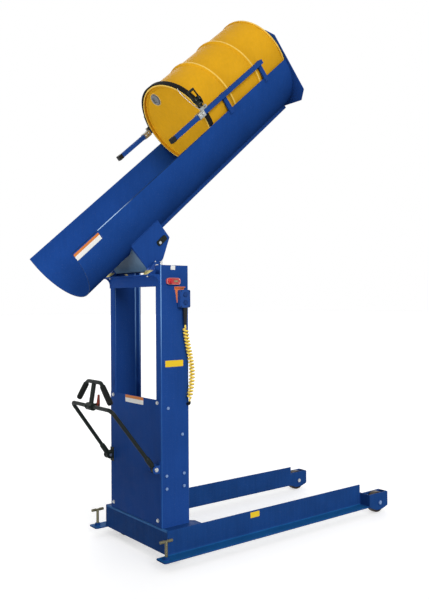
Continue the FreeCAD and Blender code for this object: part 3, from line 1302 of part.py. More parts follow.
def drum_strap():
    """Webbing strap over the drum from rim to rim."""
    low = math.radians(STRAP_START)
    near_edge, far_edge = STRAP_S
    corners = [(near_edge, STRAP_INNER), (far_edge, STRAP_INNER), (far_edge, STRAP_OUTER),
               (near_edge, STRAP_OUTER)]
    outline = polygon([V(s, -r * math.cos(low), DRUM_AXIS_H + r * math.sin(low)) for s, r in corners])
    return outline.revolve(V(0, 0, DRUM_AXIS_H), -X_DIR, STRAP_END - STRAP_START)


def on_strap(shape):
    """Turn a ratchet piece, drawn with z outwards on the strap, to its place round the drum."""
    placed = shape.copy()
    outward = FreeCAD.Rotation(X_DIR, 90 - RATCHET_ANGLE)
    seat = FreeCAD.Placement(V(0, 0, DRUM_AXIS_H), outward)
    placed.Placement = seat.multiply(placed.Placement)
    return placed


def ratchet_hinge():
    """Ratchet spindle in the strap's own directions: s along the drum, z outwards."""
    return V(sum(STRAP_S) / 2, 0, STRAP_OUTER + STRAP_GAP + RATCHET_HEIGHT / 2)


def ratchet_frame():
    """Ratchet frame on the strap: base, two cheeks and the slotted spindle."""
    floor = STRAP_OUTER + STRAP_GAP
    wide = (STRAP_S[0] - RATCHET_CHEEK, STRAP_S[1] + RATCHET_CHEEK)
    half = RATCHET_LENGTH / 2
    frame = box(wide, (-half, half / 2), (floor, floor + RATCHET_CHEEK))
    hinge = ratchet_hinge()
    crown = RATCHET_HEIGHT / 2
    for s in (wide[0], wide[1] - RATCHET_CHEEK):
        outline = [(-half, floor), (half / 2, floor), (half / 2, hinge.z), (crown, floor + RATCHET_HEIGHT),
                   (-crown, floor + RATCHET_HEIGHT), (-half, hinge.z)]
        frame = frame.fuse(prism_x(outline, (s, s + RATCHET_CHEEK)))
    reach = 2 * RATCHET_CHEEK + SIDE_CLEARANCE
    spindle_end = V(wide[0] - reach, 0, hinge.z)
    spindle = cylinder(spindle_end, X_DIR, RATCHET_PIN_R, wide[1] - wide[0] + 2 * reach)
    return frame.fuse(spindle).removeSplitter()


def ratchet_handle():
    """Ratchet handle: two side arms outside the frame and a cross grip, lying back along the strap."""
    hinge = ratchet_hinge()
    gap = RATCHET_CHEEK + SIDE_CLEARANCE / 2
    wide = (STRAP_S[0] - gap - RATCHET_CHEEK, STRAP_S[1] + gap + RATCHET_CHEEK)
    eye = 2 * RATCHET_PIN_R
    grip_r = RATCHET_PIN_R + RATCHET_CHEEK / 2
    z = (hinge.z - RATCHET_PIN_R, hinge.z + RATCHET_PIN_R)
    handle = cylinder(V(wide[0], RATCHET_ARM, hinge.z), X_DIR, grip_r, wide[1] - wide[0])
    for s in (wide[0], wide[1] - RATCHET_CHEEK):
        arm = box((s, s + RATCHET_CHEEK), (0, RATCHET_ARM), z)
        boss = cylinder(V(s, 0, hinge.z), X_DIR, eye, RATCHET_CHEEK)
        handle = handle.fuse(arm).fuse(boss)
    bore = cylinder(V(wide[0], 0, hinge.z), X_DIR, RATCHET_PIN_R + RUNNING_FIT, wide[1] - wide[0])
    handle = handle.cut(bore).removeSplitter()
    handle.rotate(hinge, X_DIR, RATCHET_TILT)
    return handle


# Drum, drawn in the chute's directions

def drum_shell():
    """Drum body with two rolling hoops, rolled chimes and a recessed bottom, as one sheet of steel."""
    wall = DRUM_R - DRUM_WALL
    end = DRUM_LENGTH
    outside = [(0, CHIME_R - DRUM_WALL), (DRUM_WALL, CHIME_R), (CHIME_LENGTH, CHIME_R),
               (CHIME_LENGTH + DRUM_WALL, DRUM_R)]
    for hoop in DRUM_HOOPS:
        outside += [(hoop - DRUM_HOOP_HALF, DRUM_R), (hoop - DRUM_HOOP_HALF / 3, DRUM_HOOP_R),
                    (hoop + DRUM_HOOP_HALF / 3, DRUM_HOOP_R), (hoop + DRUM_HOOP_HALF, DRUM_R)]
    outside += [(end - CHIME_LENGTH - DRUM_WALL, DRUM_R), (end - CHIME_LENGTH, CHIME_R),
                (end - DRUM_WALL, CHIME_R), (end, CHIME_R - DRUM_WALL)]
    floor = end - HEAD_RECESS
    inside = [(end, wall), (floor, wall), (floor, 0), (floor - HEAD_THICK, 0), (floor - HEAD_THICK, wall)]
    for hoop in reversed(DRUM_HOOPS):
        crest = DRUM_HOOP_R - DRUM_WALL
        inside += [(hoop + DRUM_HOOP_HALF - DRUM_WALL, wall), (hoop + DRUM_HOOP_HALF / 3, crest),
                   (hoop - DRUM_HOOP_HALF / 3, crest), (hoop - DRUM_HOOP_HALF + DRUM_WALL, wall)]
    inside += [(0, wall)]
    return revolve(outside + inside, V(DRUM_TOP_S, 0, DRUM_AXIS_H), X_DIR)


def drum_head():
    """Recessed top head with a turned-up flange, a stiffening rib and two plug holes."""
    edge = DRUM_R - DRUM_WALL - SEAT_FIT
    face = HEAD_RECESS
    back = face + HEAD_THICK
    rib = edge - HEAD_FLANGE - HEAD_RIB
    outline = [(0, edge), (0, edge - HEAD_THICK), (face, edge - HEAD_THICK), (face, rib + 2 * HEAD_RIB),
               (face - HEAD_RIB, rib + HEAD_RIB), (face - HEAD_RIB, rib), (face, rib - HEAD_RIB), (face, 0),
               (back, 0), (back, rib - HEAD_RIB), (back - HEAD_RIB, rib), (back - HEAD_RIB, rib + HEAD_RIB),
               (back, rib + 2 * HEAD_RIB), (back, edge)]
    head = revolve(outline, V(DRUM_TOP_S, 0, DRUM_AXIS_H), X_DIR)
    for y, h, radius in PLUG_PLACES:
        start = V(DRUM_TOP_S, y, DRUM_AXIS_H + h)
        head = head.cut(cylinder(start, X_DIR, radius + SEAT_FIT, 2 * HEAD_RECESS))
    return head


def drum_plugs():
    """The two screw plugs in the top head, each a stepped disc with a square socket."""
    solids = []
    for y, h, radius in PLUG_PLACES:
        face = V(DRUM_TOP_S + HEAD_RECESS, y, DRUM_AXIS_H + h)
        plug = cylinder(face - X_DIR * PLUG_HEIGHT, X_DIR, radius, PLUG_HEIGHT + PLUG_COLLAR + HEAD_THICK)
        plug = fillet(plug, HEAD_THICK, lambda e: near(e.CenterOfMass.x, face.x - PLUG_HEIGHT))
        collar = cylinder(face - X_DIR * HEAD_THICK, X_DIR, radius + PLUG_COLLAR, HEAD_THICK)
        half = radius / 2
        socket = box((face.x - PLUG_HEIGHT, face.x - HEAD_THICK), (y - half, y + half),
                     (DRUM_AXIS_H + h - half, DRUM_AXIS_H + h + half))
        solids.append(plug.fuse(collar).cut(socket).removeSplitter())
    return Part.makeCompound(solids)


def pieces():
    """Every node of the machine by name."""
    near_channel = mast_channel()
    near_leg = leg()
    upper, lower = button_places()
    return {
        "mast_channel_near": near_channel,
        "mast_channel_far": mirrored(near_channel),
        "base_beam": base_beam(),
        "leg_near": near_leg,
        "leg_far": mirrored(near_leg),
        "deck_plates": pair(deck_plate()),
        "floor_pan": floor_pan(),
        "wheel_forks": pair(wheel_fork()),
        "wheel_axles": pair(wheel_axle()),
        "pivot_shelf": pivot_shelf(),
        "bearing_blocks": pair(bearing_block()),
        "cover_panel": cover_panel(),
        "frame_bolts": frame_bolts(),
        "cylinder_bracket": cylinder_bracket(),
        "mast_tie": mast_tie(),
        "battery": battery(),
        "hydraulic_tank": hydraulic_tank(),
        "pump_block": pump_block(),
        "pump_motor": pump_motor(),
        "pressure_hose": pressure_hose(),
        "caster_plates": pair(caster_plate()),
        "handle_clevises": pair(handle_clevis()),
        "handle_pivot_bolts": pair(handle_pivot_bolt()),
        "isolator_plate": isolator_plate(),
        "pendant_hook": pendant_hook(),
        "pendant_body": pendant_body(),
        "cord_glands": cord_glands(),
        "curly_cord": curly_cord(),
        "load_wheel_near": load_wheel(-1),
        "load_wheel_far": load_wheel(1),
        "caster_fork_near": caster_fork(-1),
        "caster_fork_far": caster_fork(1),
        "caster_wheel_near": caster_wheel(-1),
        "caster_wheel_far": caster_wheel(1),
        "jack_screw_near": jack_screw(-1),
        "jack_screw_far": jack_screw(1),
        "cylinder_barrel": cylinder_barrel(),
        "cylinder_rod": cylinder_rod(),
        "handle_yoke": handle_yoke(),
        "handle_loop": handle_loop(),
        "handle_grips": handle_grips(),
        "release_lever": release_lever(),
        "isolator_knob": isolator_knob(),
        "button_up": button(upper),
        "button_down": button(lower),
        "chute_trough": in_chute(trough()),
        "end_plate": in_chute(end_plate()),
        "keel_channel": in_chute(keel_channel()),
        "chute_ears": in_chute(ears()),
        "pivot_shaft": in_chute(pivot_shaft()),
        "rod_pin": in_chute(rod_pin()),
        "side_rails": in_chute(pair(side_rail())),
        "rail_caps": in_chute(pair(rail_cap())),
        "strap_clamps": in_chute(pair(strap_clamp())),
        "drum_strap": in_chute(drum_strap()),
        "ratchet_frame": in_chute(on_strap(ratchet_frame())),
        "ratchet_handle": in_chute(on_strap(ratchet_handle())),
        "drum_shell": in_chute(drum_shell()),
        "drum_head": in_chute(drum_head()),
        "drum_plugs": in_chute(drum_plugs()),
    }


os.makedirs("parts", exist_ok=True)
for name, shape in pieces().items():
    shape.translate(V(-MACHINE_MIDDLE, 0, 0))
    shape.exportStep(f"parts/{name}.step")
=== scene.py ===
"""Looks of the drum tipper: finishes, soft pieces, plates, welds, studio and the photograph's camera."""

import logging
import math
from collections.abc import Callable
from dataclasses import dataclass, field
from enum import Enum

import bmesh
import bpy
from mathutils import Matrix, Vector


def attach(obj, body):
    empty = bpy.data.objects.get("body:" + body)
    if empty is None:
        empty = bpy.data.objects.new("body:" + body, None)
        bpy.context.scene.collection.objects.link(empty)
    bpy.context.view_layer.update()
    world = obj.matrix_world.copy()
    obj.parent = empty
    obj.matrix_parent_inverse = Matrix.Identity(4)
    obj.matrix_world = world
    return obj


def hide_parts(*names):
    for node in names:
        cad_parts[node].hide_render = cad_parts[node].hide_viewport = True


LOG = logging.getLogger("drum_tipper")
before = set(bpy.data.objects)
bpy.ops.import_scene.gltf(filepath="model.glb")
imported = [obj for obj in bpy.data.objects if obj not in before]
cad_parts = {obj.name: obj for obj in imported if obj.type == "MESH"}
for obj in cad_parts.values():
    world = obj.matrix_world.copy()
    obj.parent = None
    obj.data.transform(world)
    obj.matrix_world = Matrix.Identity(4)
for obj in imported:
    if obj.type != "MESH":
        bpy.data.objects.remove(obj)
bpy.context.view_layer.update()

# Three numbers that place a thing, and two that bound it or place it on a face, in millimetres.
Spot = tuple[float, float, float]
Span = tuple[float, float]

MM_PER_M = 1000.0
# The machine's working frame has x = 0 on the mast's front face, and the row's frame lies this far along it.
MACHINE_MIDDLE = 672.348
# Directions in either frame: behind the mast, before it, towards the pendant's side, away from that side, and up.
BEHIND = Vector((1.0, 0.0, 0.0))
AHEAD = Vector((-1.0, 0.0, 0.0))
NEAR = Vector((0.0, -1.0, 0.0))
FAR = Vector((0.0, 1.0, 0.0))
UP = Vector((0.0, 0.0, 1.0))
# Signs of y on the near side, where the pendant hangs, and on the far side.
NEAR_SIDE, FAR_SIDE = -1.0, 1.0
SIDES = (NEAR_SIDE, FAR_SIDE)
# x and z of the load wheels' axles, and x and y of the far screw jack.
LOAD_AXLE: Span = (1829.0, 76.0)
FAR_JACK: Span = (-45.0, 415.5)

# Sockets of a Mix node that blends colours.
MIX_FIRST, MIX_SECOND, MIX_RESULT = 6, 7, 2
# Limits between which most of a Noise node's values lie.
NOISE_LOW, NOISE_HIGH = 0.3, 0.7
# A texture scale over this makes a Wave node's ridges, and its grooves, each about as wide as the size given.
WAVE_RIDGE = 6.2832
# Shares of a finish's roughness where hands have smoothed it and where dust dulls it.
HANDLED, DULLED = 0.82, 1.2


def row(x: float, y: float, z: float) -> Vector:
    """Turn a place in the machine's working frame, in millimetres, into the row's frame.

    Args:
        x: Distance behind the mast's front face.
        y: Distance from the machine's middle, negative on the pendant's side.
        z: Height above the floor.

    Returns:
        The place in metres.
    """
    return Vector((x - MACHINE_MIDDLE, y, z)) / MM_PER_M


def linear(code: str) -> tuple[float, float, float, float]:
    """Turn an sRGB hex colour into linear values.

    Args:
        code: Six hex digits.

    Returns:
        Linear red, green, blue and an alpha of one.
    """
    channels = []
    for start in (0, 2, 4):
        value = int(code[start:start + 2], 16) / 255.0
        channels.append(value / 12.92 if value <= 0.04045 else ((value + 0.055) / 1.055) ** 2.4)
    return channels[0], channels[1], channels[2], 1.0


def per_mm(size: float) -> float:
    """Return the texture scale that gives features of a size in millimetres."""
    return MM_PER_M / size


def feed(tree: bpy.types.NodeTree, node: bpy.types.Node, inputs: dict) -> None:
    """Set or link inputs of a shader node.

    Args:
        tree: Node tree that holds the node.
        node: The node.
        inputs: Values or output sockets for its inputs.
    """
    for key, value in inputs.items():
        if isinstance(value, bpy.types.NodeSocket):
            tree.links.new(value, node.inputs[key])
        else:
            node.inputs[key].default_value = value


def add_node(tree: bpy.types.NodeTree, kind: str, inputs: dict | None = None, **settings: object) -> bpy.types.Node:
    """Add a shader node.

    Args:
        tree: Node tree that takes the node.
        kind: Blender's name of the node type.
        inputs: Values or output sockets for the node's inputs.
        **settings: Properties of the node.

    Returns:
        The new node.
    """
    node = tree.nodes.new(kind)
    for key, value in settings.items():
        setattr(node, key, value)
    feed(tree, node, inputs or {})
    return node


@dataclass(frozen=True)
class Finish:
    """A surface finish.

    The colour drifts over large clouds, the gloss over smaller ones, and a fine grain lifts the surface.
    """

    name: str
    colour: str
    roughness: float = 0.4
    metallic: float = 0.0
    specular: float = 0.5
    cloud: float = 240.0
    drift: float = 0.08
    grain: float = 3.0
    lift: float = 0.05

    def material(self) -> bpy.types.Material:
        """Return the finish's material, made on first use.

        Returns:
            The material.
        """
        known = bpy.data.materials.get(self.name)
        if known:
            return known
        made = bpy.data.materials.new(self.name)
        made.use_nodes = True
        tree = made.node_tree
        place = add_node(tree, "ShaderNodeTexCoord")
        height, depth = self.relief(tree, place)
        bump = add_node(tree, "ShaderNodeBump", {
            "Height": height, "Strength": self.lift, "Distance": depth / MM_PER_M})
        feed(tree, tree.nodes["Principled BSDF"], {
            "Base Color": self.coloured(tree, place), "Roughness": self.gloss(tree, place),
            "Normal": bump.outputs["Normal"], "Metallic": self.metallic, "Specular IOR Level": self.specular})
        return made

    def coloured(self, tree: bpy.types.NodeTree, place: bpy.types.Node) -> bpy.types.NodeSocket:
        """Let the colour drift a little lighter and darker.

        Args:
            tree: The material's nodes.
            place: Texture coordinates.

        Returns:
            The colour.
        """
        noise = add_node(tree, "ShaderNodeTexNoise", {
            "Vector": place.outputs["Object"], "Scale": per_mm(self.cloud), "Detail": 4.0})
        value = add_node(tree, "ShaderNodeMapRange", {
            "Value": noise.outputs["Fac"], "From Min": NOISE_LOW, "From Max": NOISE_HIGH,
            "To Min": 1.0 - self.drift, "To Max": 1.0 + self.drift})
        tint = add_node(tree, "ShaderNodeHueSaturation", {
            "Color": linear(self.colour), "Value": value.outputs["Result"]})
        return tint.outputs["Color"]

    def gloss(self, tree: bpy.types.NodeTree, place: bpy.types.Node) -> bpy.types.NodeSocket | float:
        """Let the roughness drift over patches of handling and dust.

        Args:
            tree: The material's nodes.
            place: Texture coordinates.

        Returns:
            The roughness.
        """
        noise = add_node(tree, "ShaderNodeTexNoise", {
            "Vector": place.outputs["Object"], "Scale": per_mm(self.cloud / 4), "Detail": 5.0})
        rough = add_node(tree, "ShaderNodeMapRange", {
            "Value": noise.outputs["Fac"], "From Min": NOISE_LOW, "From Max": NOISE_HIGH,
            "To Min": self.roughness * HANDLED, "To Max": self.roughness * DULLED})
        return rough.outputs["Result"]

    def relief(self, tree: bpy.types.NodeTree, place: bpy.types.Node) -> tuple[bpy.types.NodeSocket, float]:
        """Draw a fine grain.

        Args:
            tree: The material's nodes.
            place: Texture coordinates.

        Returns:
            The grain's height, and its depth in millimetres.
        """
        noise = add_node(tree, "ShaderNodeTexNoise", {
            "Vector": place.outputs["Object"], "Scale": per_mm(self.grain), "Detail": 2.0})
        return noise.outputs["Fac"], self.grain / 4


@dataclass(frozen=True)
class Enamel(Finish):
    """Sprayed enamel on steel: orange peel, dust specks and faint streaks down the surface."""

    streak: float = 16.0
    streak_stretch: float = 0.06
    speck: float = 5.0
    dust: str = "C9CDD2"
    dust_share: float = 0.07

    def coloured(self, tree: bpy.types.NodeTree, place: bpy.types.Node) -> bpy.types.NodeSocket:
        """Add streaks and dust to the drifting colour.

        Args:
            tree: The material's nodes.
            place: Texture coordinates.

        Returns:
            The colour.
        """
        long = add_node(tree, "ShaderNodeMapping", {
            "Vector": place.outputs["Object"], "Scale": (1.0, 1.0, self.streak_stretch)})
        streak = add_node(tree, "ShaderNodeTexNoise", {
            "Vector": long.outputs["Vector"], "Scale": per_mm(self.streak), "Detail": 3.0})
        shade = add_node(tree, "ShaderNodeMapRange", {
            "Value": streak.outputs["Fac"], "From Min": 0.35, "From Max": NOISE_HIGH,
            "To Min": 1.0, "To Max": 1.0 - self.drift})
        worn = add_node(tree, "ShaderNodeHueSaturation", {
            "Color": super().coloured(tree, place), "Value": shade.outputs["Result"]})
        dust = add_node(tree, "ShaderNodeTexNoise", {
            "Vector": place.outputs["Object"], "Scale": per_mm(self.speck), "Detail": 5.0, "Roughness": 0.65})
        share = add_node(tree, "ShaderNodeMapRange", {
            "Value": dust.outputs["Fac"], "From Min": 0.58, "From Max": 0.74, "To Min": 0.0, "To Max": self.dust_share})
        mixed = add_node(tree, "ShaderNodeMix", {
            "Factor": share.outputs["Result"], MIX_FIRST: worn.outputs["Color"], MIX_SECOND: linear(self.dust)},
            data_type="RGBA")
        return mixed.outputs[MIX_RESULT]


@dataclass(frozen=True)
class Spangle(Finish):
    """Hot-dip zinc: crystals of differing grey."""

    crystal: float = 9.0
    darkest: float = 0.78
    palest: float = 1.12

    def coloured(self, tree: bpy.types.NodeTree, place: bpy.types.Node) -> bpy.types.NodeSocket:
        """Give each crystal its own grey.

        Args:
            tree: The material's nodes.
            place: Texture coordinates.

        Returns:
            The colour.
        """
        cells = add_node(tree, "ShaderNodeTexVoronoi", {
            "Vector": place.outputs["Object"], "Scale": per_mm(self.crystal)})
        grey = add_node(tree, "ShaderNodeSeparateColor", {"Color": cells.outputs["Color"]})
        value = add_node(tree, "ShaderNodeMapRange", {
            "Value": grey.outputs["Red"], "To Min": self.darkest, "To Max": self.palest})
        tint = add_node(tree, "ShaderNodeHueSaturation", {
            "Color": linear(self.colour), "Value": value.outputs["Result"]})
        return tint.outputs["Color"]


@dataclass(frozen=True)
class Weave(Finish):
    """Woven webbing: ribs along the strap crossed by the weft, on the strap's own map."""

    lift: float = 0.5
    warp: float = 3.2
    weft: float = 5.12
    depth: float = 0.8

    def gloss(self, tree: bpy.types.NodeTree, place: bpy.types.Node) -> float:
        """Return the roughness, which is even."""
        return self.roughness

    def relief(self, tree: bpy.types.NodeTree, place: bpy.types.Node) -> tuple[bpy.types.NodeSocket, float]:
        """Draw the warp and weft threads, coarser than real ones so that they show.

        Args:
            tree: The material's nodes.
            place: Texture coordinates.

        Returns:
            The threads' height, and their depth in millimetres.
        """
        threads = {}
        for key, (axis, size) in enumerate((("X", self.weft), ("Y", self.warp))):
            wave = add_node(tree, "ShaderNodeTexWave", {
                "Vector": place.outputs["UV"], "Scale": per_mm(size) / WAVE_RIDGE, "Distortion": 0.4, "Detail": 1.0},
                bands_direction=axis)
            threads[key] = wave.outputs["Fac"]
        height = add_node(tree, "ShaderNodeMath", threads, operation="MULTIPLY")
        return height.outputs["Value"], self.depth


@dataclass(frozen=True)
class Foam(Finish):
    """Closed-cell foam: a dull skin with open pores."""

    lift: float = 0.35
    pore: float = 2.4
    depth: float = 0.8

    def relief(self, tree: bpy.types.NodeTree, place: bpy.types.Node) -> tuple[bpy.types.NodeSocket, float]:
        """Draw the pores, coarser than real ones so that they show.

        Args:
            tree: The material's nodes.
            place: Texture coordinates.

        Returns:
            The pores' height, and their depth in millimetres.
        """
        cells = add_node(tree, "ShaderNodeTexVoronoi", {
            "Vector": place.outputs["Object"], "Scale": per_mm(self.pore)})
        return cells.outputs["Distance"], self.depth


@dataclass(frozen=True)
class Thread(Finish):
    """Screw thread: ridges square to the screw, which stands upright."""

    lift: float = 0.9
    ridge: float = 5.0
    depth: float = 1.2

    def relief(self, tree: bpy.types.NodeTree, place: bpy.types.Node) -> tuple[bpy.types.NodeSocket, float]:
        """Draw the ridges, coarser than real ones so that they show.

        Args:
            tree: The material's nodes.
            place: Texture coordinates.

        Returns:
            The ridges' height, and their depth in millimetres.
        """
        wave = add_node(tree, "ShaderNodeTexWave", {
            "Vector": place.outputs["Object"], "Scale": per_mm(self.ridge) / WAVE_RIDGE}, bands_direction="Z")
        return wave.outputs["Fac"], self.depth


@dataclass(frozen=True)
class Graded(Finish):
    """Finish that passes into another colour above a height, as where a painted highlight grows paler or turns into
    painted shade, and where enamel ends.
    """

    above: str = "1E468D"
    level: float = 1000.0
    fade: float = 10.0

    def coloured(self, tree: bpy.types.NodeTree, place: bpy.types.Node) -> bpy.types.NodeSocket:
        """Blend the drifting colour into the upper one.

        Args:
            tree: The material's nodes.
            place: Texture coordinates.

        Returns:
            The colour.
        """
        spot = add_node(tree, "ShaderNodeSeparateXYZ", {"Vector": place.outputs["Object"]})
        share = add_node(tree, "ShaderNodeMapRange", {
            "Value": spot.outputs["Z"], "From Min": self.level / MM_PER_M,
            "From Max": (self.level + self.fade) / MM_PER_M})
        mixed = add_node(tree, "ShaderNodeMix", {
            "Factor": share.outputs["Result"], MIX_FIRST: super().coloured(tree, place),
            MIX_SECOND: linear(self.above)}, data_type="RGBA")
        return mixed.outputs[MIX_RESULT]


# Sprayed blue enamel: a deep even blue with orange peel and a low sheen.
BLUE = Enamel("blue_enamel", "1E468D", roughness=0.5, specular=0.03, drift=0.07)
# The same enamel on the trough's rolled sheet, which is smooth and shows no sheen.
BLUE_SHEET = Enamel("blue_enamel_rolled_sheet", "1E468D", roughness=0.5, specular=0.0, drift=0.07, lift=0.0)
# The same enamel on the parts near the floor, darker as painted shade, since the light falls less on them than on the
# parts higher up.
BLUE_LOW_SHADED = Enamel("blue_enamel_shaded_near_floor", "1A417D", roughness=0.52, specular=0.03, drift=0.1, cloud=160.0)
# Painted highlight on the mast's rounded edges and bends: a brighter blue that grows paler towards the top.
BLUE_EDGE_HIGHLIGHT = Graded("blue_enamel_edge_highlight", "20559A", roughness=0.4, specular=0.2, drift=0.1, cloud=60.0,
                   above="74A2D8", level=1130.0, fade=350.0)
# Painted highlight along the base beam's gentle bend: a paler blue.
BLUE_BEND_HIGHLIGHT = Enamel("blue_enamel_bend_highlight", "2F639E", roughness=0.45, specular=0.1, drift=0.1, cloud=60.0)
# Painted highlight on the chute's near rim: a pale line that passes into painted shade higher up.
BLUE_RIM_HIGHLIGHT = Graded("blue_enamel_rim_highlight", "A5C2E4", roughness=0.35, specular=0.1, drift=0.12, cloud=40.0,
                  above="0F2F5A", level=2087.0, fade=95.0)
# Painted shade along the chute's near rim and on the trough's end faces at its mouth: a darker blue.
BLUE_SHADE_LINE = Enamel("blue_enamel_painted_shade", "0F2F5A", roughness=0.5, specular=0.05, drift=0.12, cloud=60.0)
# Painted light on the top faces of the legs' lips: a paler blue, as light from above would give.
BLUE_LIP_LIT = Enamel("blue_enamel_lit_lip", "1A5994", roughness=0.55, specular=0.03, drift=0.1, cloud=120.0)
# A paler, greyer blue on the brace under the chute.
BLUE_GREYED = Enamel("blue_enamel_greyed", "587692", roughness=0.5, specular=0.2, drift=0.14, cloud=70.0)
# Enamel that runs over bolts, paler partly because it is thin and a little chipped and partly as a painted highlight on
# the small heads.
BLUE_BOLT_WORN_AND_LIT = Enamel("blue_enamel_bolts_worn_and_highlight", "7E9CCB", roughness=0.4, specular=0.3, drift=0.2, cloud=8.0)
# Drum enamel: warm yellow, a little uneven from handling.
YELLOW = Enamel("yellow_drum_enamel", "DCA31D", roughness=0.42, specular=0.03, drift=0.06)
# Drum enamel paler on the hoops, the rolled chimes and the rings round the plugs, partly rubbed by handling and partly
# a painted highlight.
YELLOW_WEAR_AND_HIGHLIGHT = Enamel("yellow_enamel_wear_and_highlight", "EFC555", roughness=0.38, specular=0.25, cloud=50.0)
# Stove enamel on the handle: near black with a low sheen.
BLACK = Enamel("black_enamel", "161D1A", roughness=0.48, specular=0.14, drift=0.12)
# Bright zinc plate on fasteners: an even grey with a soft shine.
ZINC = Finish("zinc_plate", "B9BCBD", roughness=0.34, metallic=1.0, cloud=30.0, drift=0.12, grain=1.2)
# Hot-dip zinc on the strap clamps: dull grey crystals.
GALVANISED = Spangle("galvanised_steel", "A3A5A0", roughness=0.42, metallic=0.9, cloud=60.0)
# Ground bar: pale and bright.
GROUND = Finish("ground_steel", "C4C6C6", roughness=0.22, metallic=1.0, cloud=40.0, drift=0.05, grain=0.8)
# Oiled black bar and wire, gone olive-grey.
OILED = Finish("oiled_steel", "6A6650", roughness=0.48, metallic=0.6, cloud=25.0, drift=0.16, grain=1.5, lift=0.1)
# The same bar where the thread is cut.
THREADED = Thread("oiled_steel_thread", "6A6650", roughness=0.42, metallic=0.6, cloud=25.0, drift=0.16)
# Yellow passivated zinc on the bearing feet: pale straw with an uneven bloom, under blue overspray higher up.
STRAW_ZINC = Graded("yellow_passivated_zinc", "C9BC78", roughness=0.5, metallic=0.3, cloud=26.0, drift=0.16,
                    grain=2.2, lift=0.2, above="1E468D", level=1760.0, fade=8.0)
# Moulded phenolic resin: dark brown with rag flecks.
PHENOLIC = Finish("moulded_phenolic", "291F18", roughness=0.5, specular=0.3, cloud=9.0, drift=0.3, grain=2.5,
                  lift=0.12)
# Moulded black plastic with a fine spark-eroded grain.
PLASTIC = Finish("moulded_black_plastic", "121415", roughness=0.5, specular=0.18, cloud=60.0, grain=1.2, lift=0.12)
# Moulded grey plastic with the same grain.
GREY = Finish("moulded_grey_plastic", "76787A", roughness=0.5, cloud=60.0, grain=1.2, lift=0.1)
# Pale milky polythene of the oil tank.
POLYTHENE = Finish("natural_polythene", "C9C7B8", roughness=0.45, cloud=90.0, drift=0.05, grain=2.0, lift=0.05)
# Moulded blue pendant housing and its buttons, a shade deeper and duller.
PENDANT_BLUE = Finish("moulded_blue_plastic", "1D4588", roughness=0.45, specular=0.15, cloud=70.0, grain=1.0,
                      lift=0.08)
BUTTON_BLUE = Finish("blue_button_rubber", "183A74", roughness=0.6, specular=0.15, cloud=20.0, grain=0.8, lift=0.1)
# Glossy red moulding of the isolator's knob.
RED = Finish("red_moulding", "C2333A", roughness=0.35, specular=0.3, cloud=40.0, grain=1.5)
# Isolator housing, a duller red that has chalked a little, with a painted highlight on its rim and an olive inset.
ISOLATOR_RED = Finish("chalked_red_moulding", "B94A48", roughness=0.5, specular=0.2, cloud=30.0, drift=0.12,
                      grain=1.2, lift=0.1)
ISOLATOR_RIM_HIGHLIGHT = Finish("red_moulding_rim_highlight", "CF8E88", roughness=0.5, cloud=20.0, drift=0.15, grain=1.0)
ISOLATOR_INSET = Finish("olive_moulding", "857A5B", roughness=0.5, cloud=15.0, drift=0.2, grain=1.0)
# Dull red paint on the release lever.
DULL_RED = Finish("red_lever_paint", "84301F", roughness=0.45, specular=0.3, cloud=40.0, grain=1.5)
# Orange enamel on the pendant's hook.
ORANGE = Enamel("orange_enamel", "E57F4C", roughness=0.42, specular=0.15)
# Black foam sleeve, dull and porous.
FOAM = Foam("foam_sleeve", "111312", roughness=0.85, specular=0.2, cloud=30.0, drift=0.15)
# Black rubber of the hose, the tyres and the pendant's seam, dull with a coarse grain.
RUBBER = Finish("black_rubber", "161616", roughness=0.62, specular=0.25, cloud=40.0, drift=0.12, grain=1.5, lift=0.15)
# Extruded yellow cord jacket, smooth and a little waxy.
JACKET = Finish("yellow_cord_jacket", "F8DA5E", roughness=0.45, specular=0.2, cloud=20.0, drift=0.05, grain=1.0)
# Black polyester webbing, dull and ribbed.
WEBBING = Weave("polyester_webbing", "0C0C0C", roughness=0.8, specular=0.15, cloud=30.0, drift=0.15)
# Vinyl sheet in single colours, smooth with a soft shine.
VINYL_WHITE = Finish("white_vinyl", "E9E9E4", roughness=0.4, cloud=80.0, drift=0.03, grain=4.0, lift=0.02)
VINYL_YELLOW = Finish("yellow_vinyl", "EBC52A", roughness=0.4, specular=0.2, cloud=80.0, drift=0.04, grain=4.0,
                      lift=0.02)
VINYL_ORANGE = Finish("orange_vinyl", "D27C3C", roughness=0.4, specular=0.2, cloud=80.0, drift=0.04, grain=4.0,
                      lift=0.02)
VINYL_BLACK = Finish("black_vinyl", "2A2A28", roughness=0.45, specular=0.2, cloud=80.0, drift=0.05, grain=4.0,
                     lift=0.02)

# Nodes that have one finish all over.
NODE_FINISHES = {
    # The deck, floor pan and wheel forks take the low parts' painted shade.
    BLUE_LOW_SHADED: ("deck_plates", "floor_pan", "wheel_forks"),
    BLUE: ("pivot_shelf", "cover_panel", "cylinder_bracket", "mast_tie", "end_plate", "keel_channel", "side_rails"),
    YELLOW: ("drum_head",),
    BLACK: ("handle_yoke", "handle_loop", "pump_motor", "ratchet_frame", "ratchet_handle", "cylinder_barrel"),
    ZINC: ("handle_pivot_bolts", "caster_plates", "caster_fork_near", "caster_fork_far"),
    GALVANISED: ("strap_clamps",),
    GROUND: ("pivot_shaft", "cylinder_rod", "pump_block"),
    PLASTIC: ("rail_caps", "cord_glands"),
    GREY: ("drum_plugs",),
    PENDANT_BLUE: ("pendant_body",),
    BUTTON_BLUE: ("button_up", "button_down"),
    RED: ("isolator_knob",),
    ISOLATOR_RED: ("isolator_plate",),
    DULL_RED: ("release_lever",),
    ORANGE: ("pendant_hook",),
}


class Body(Enum):
    """Bodies that new pieces ride on."""

    FRAME = "frame"
    CHUTE = "chute"
    HANDLE = "handle"
    JACK_NEAR = "jack_screw_near"
    JACK_FAR = "jack_screw_far"


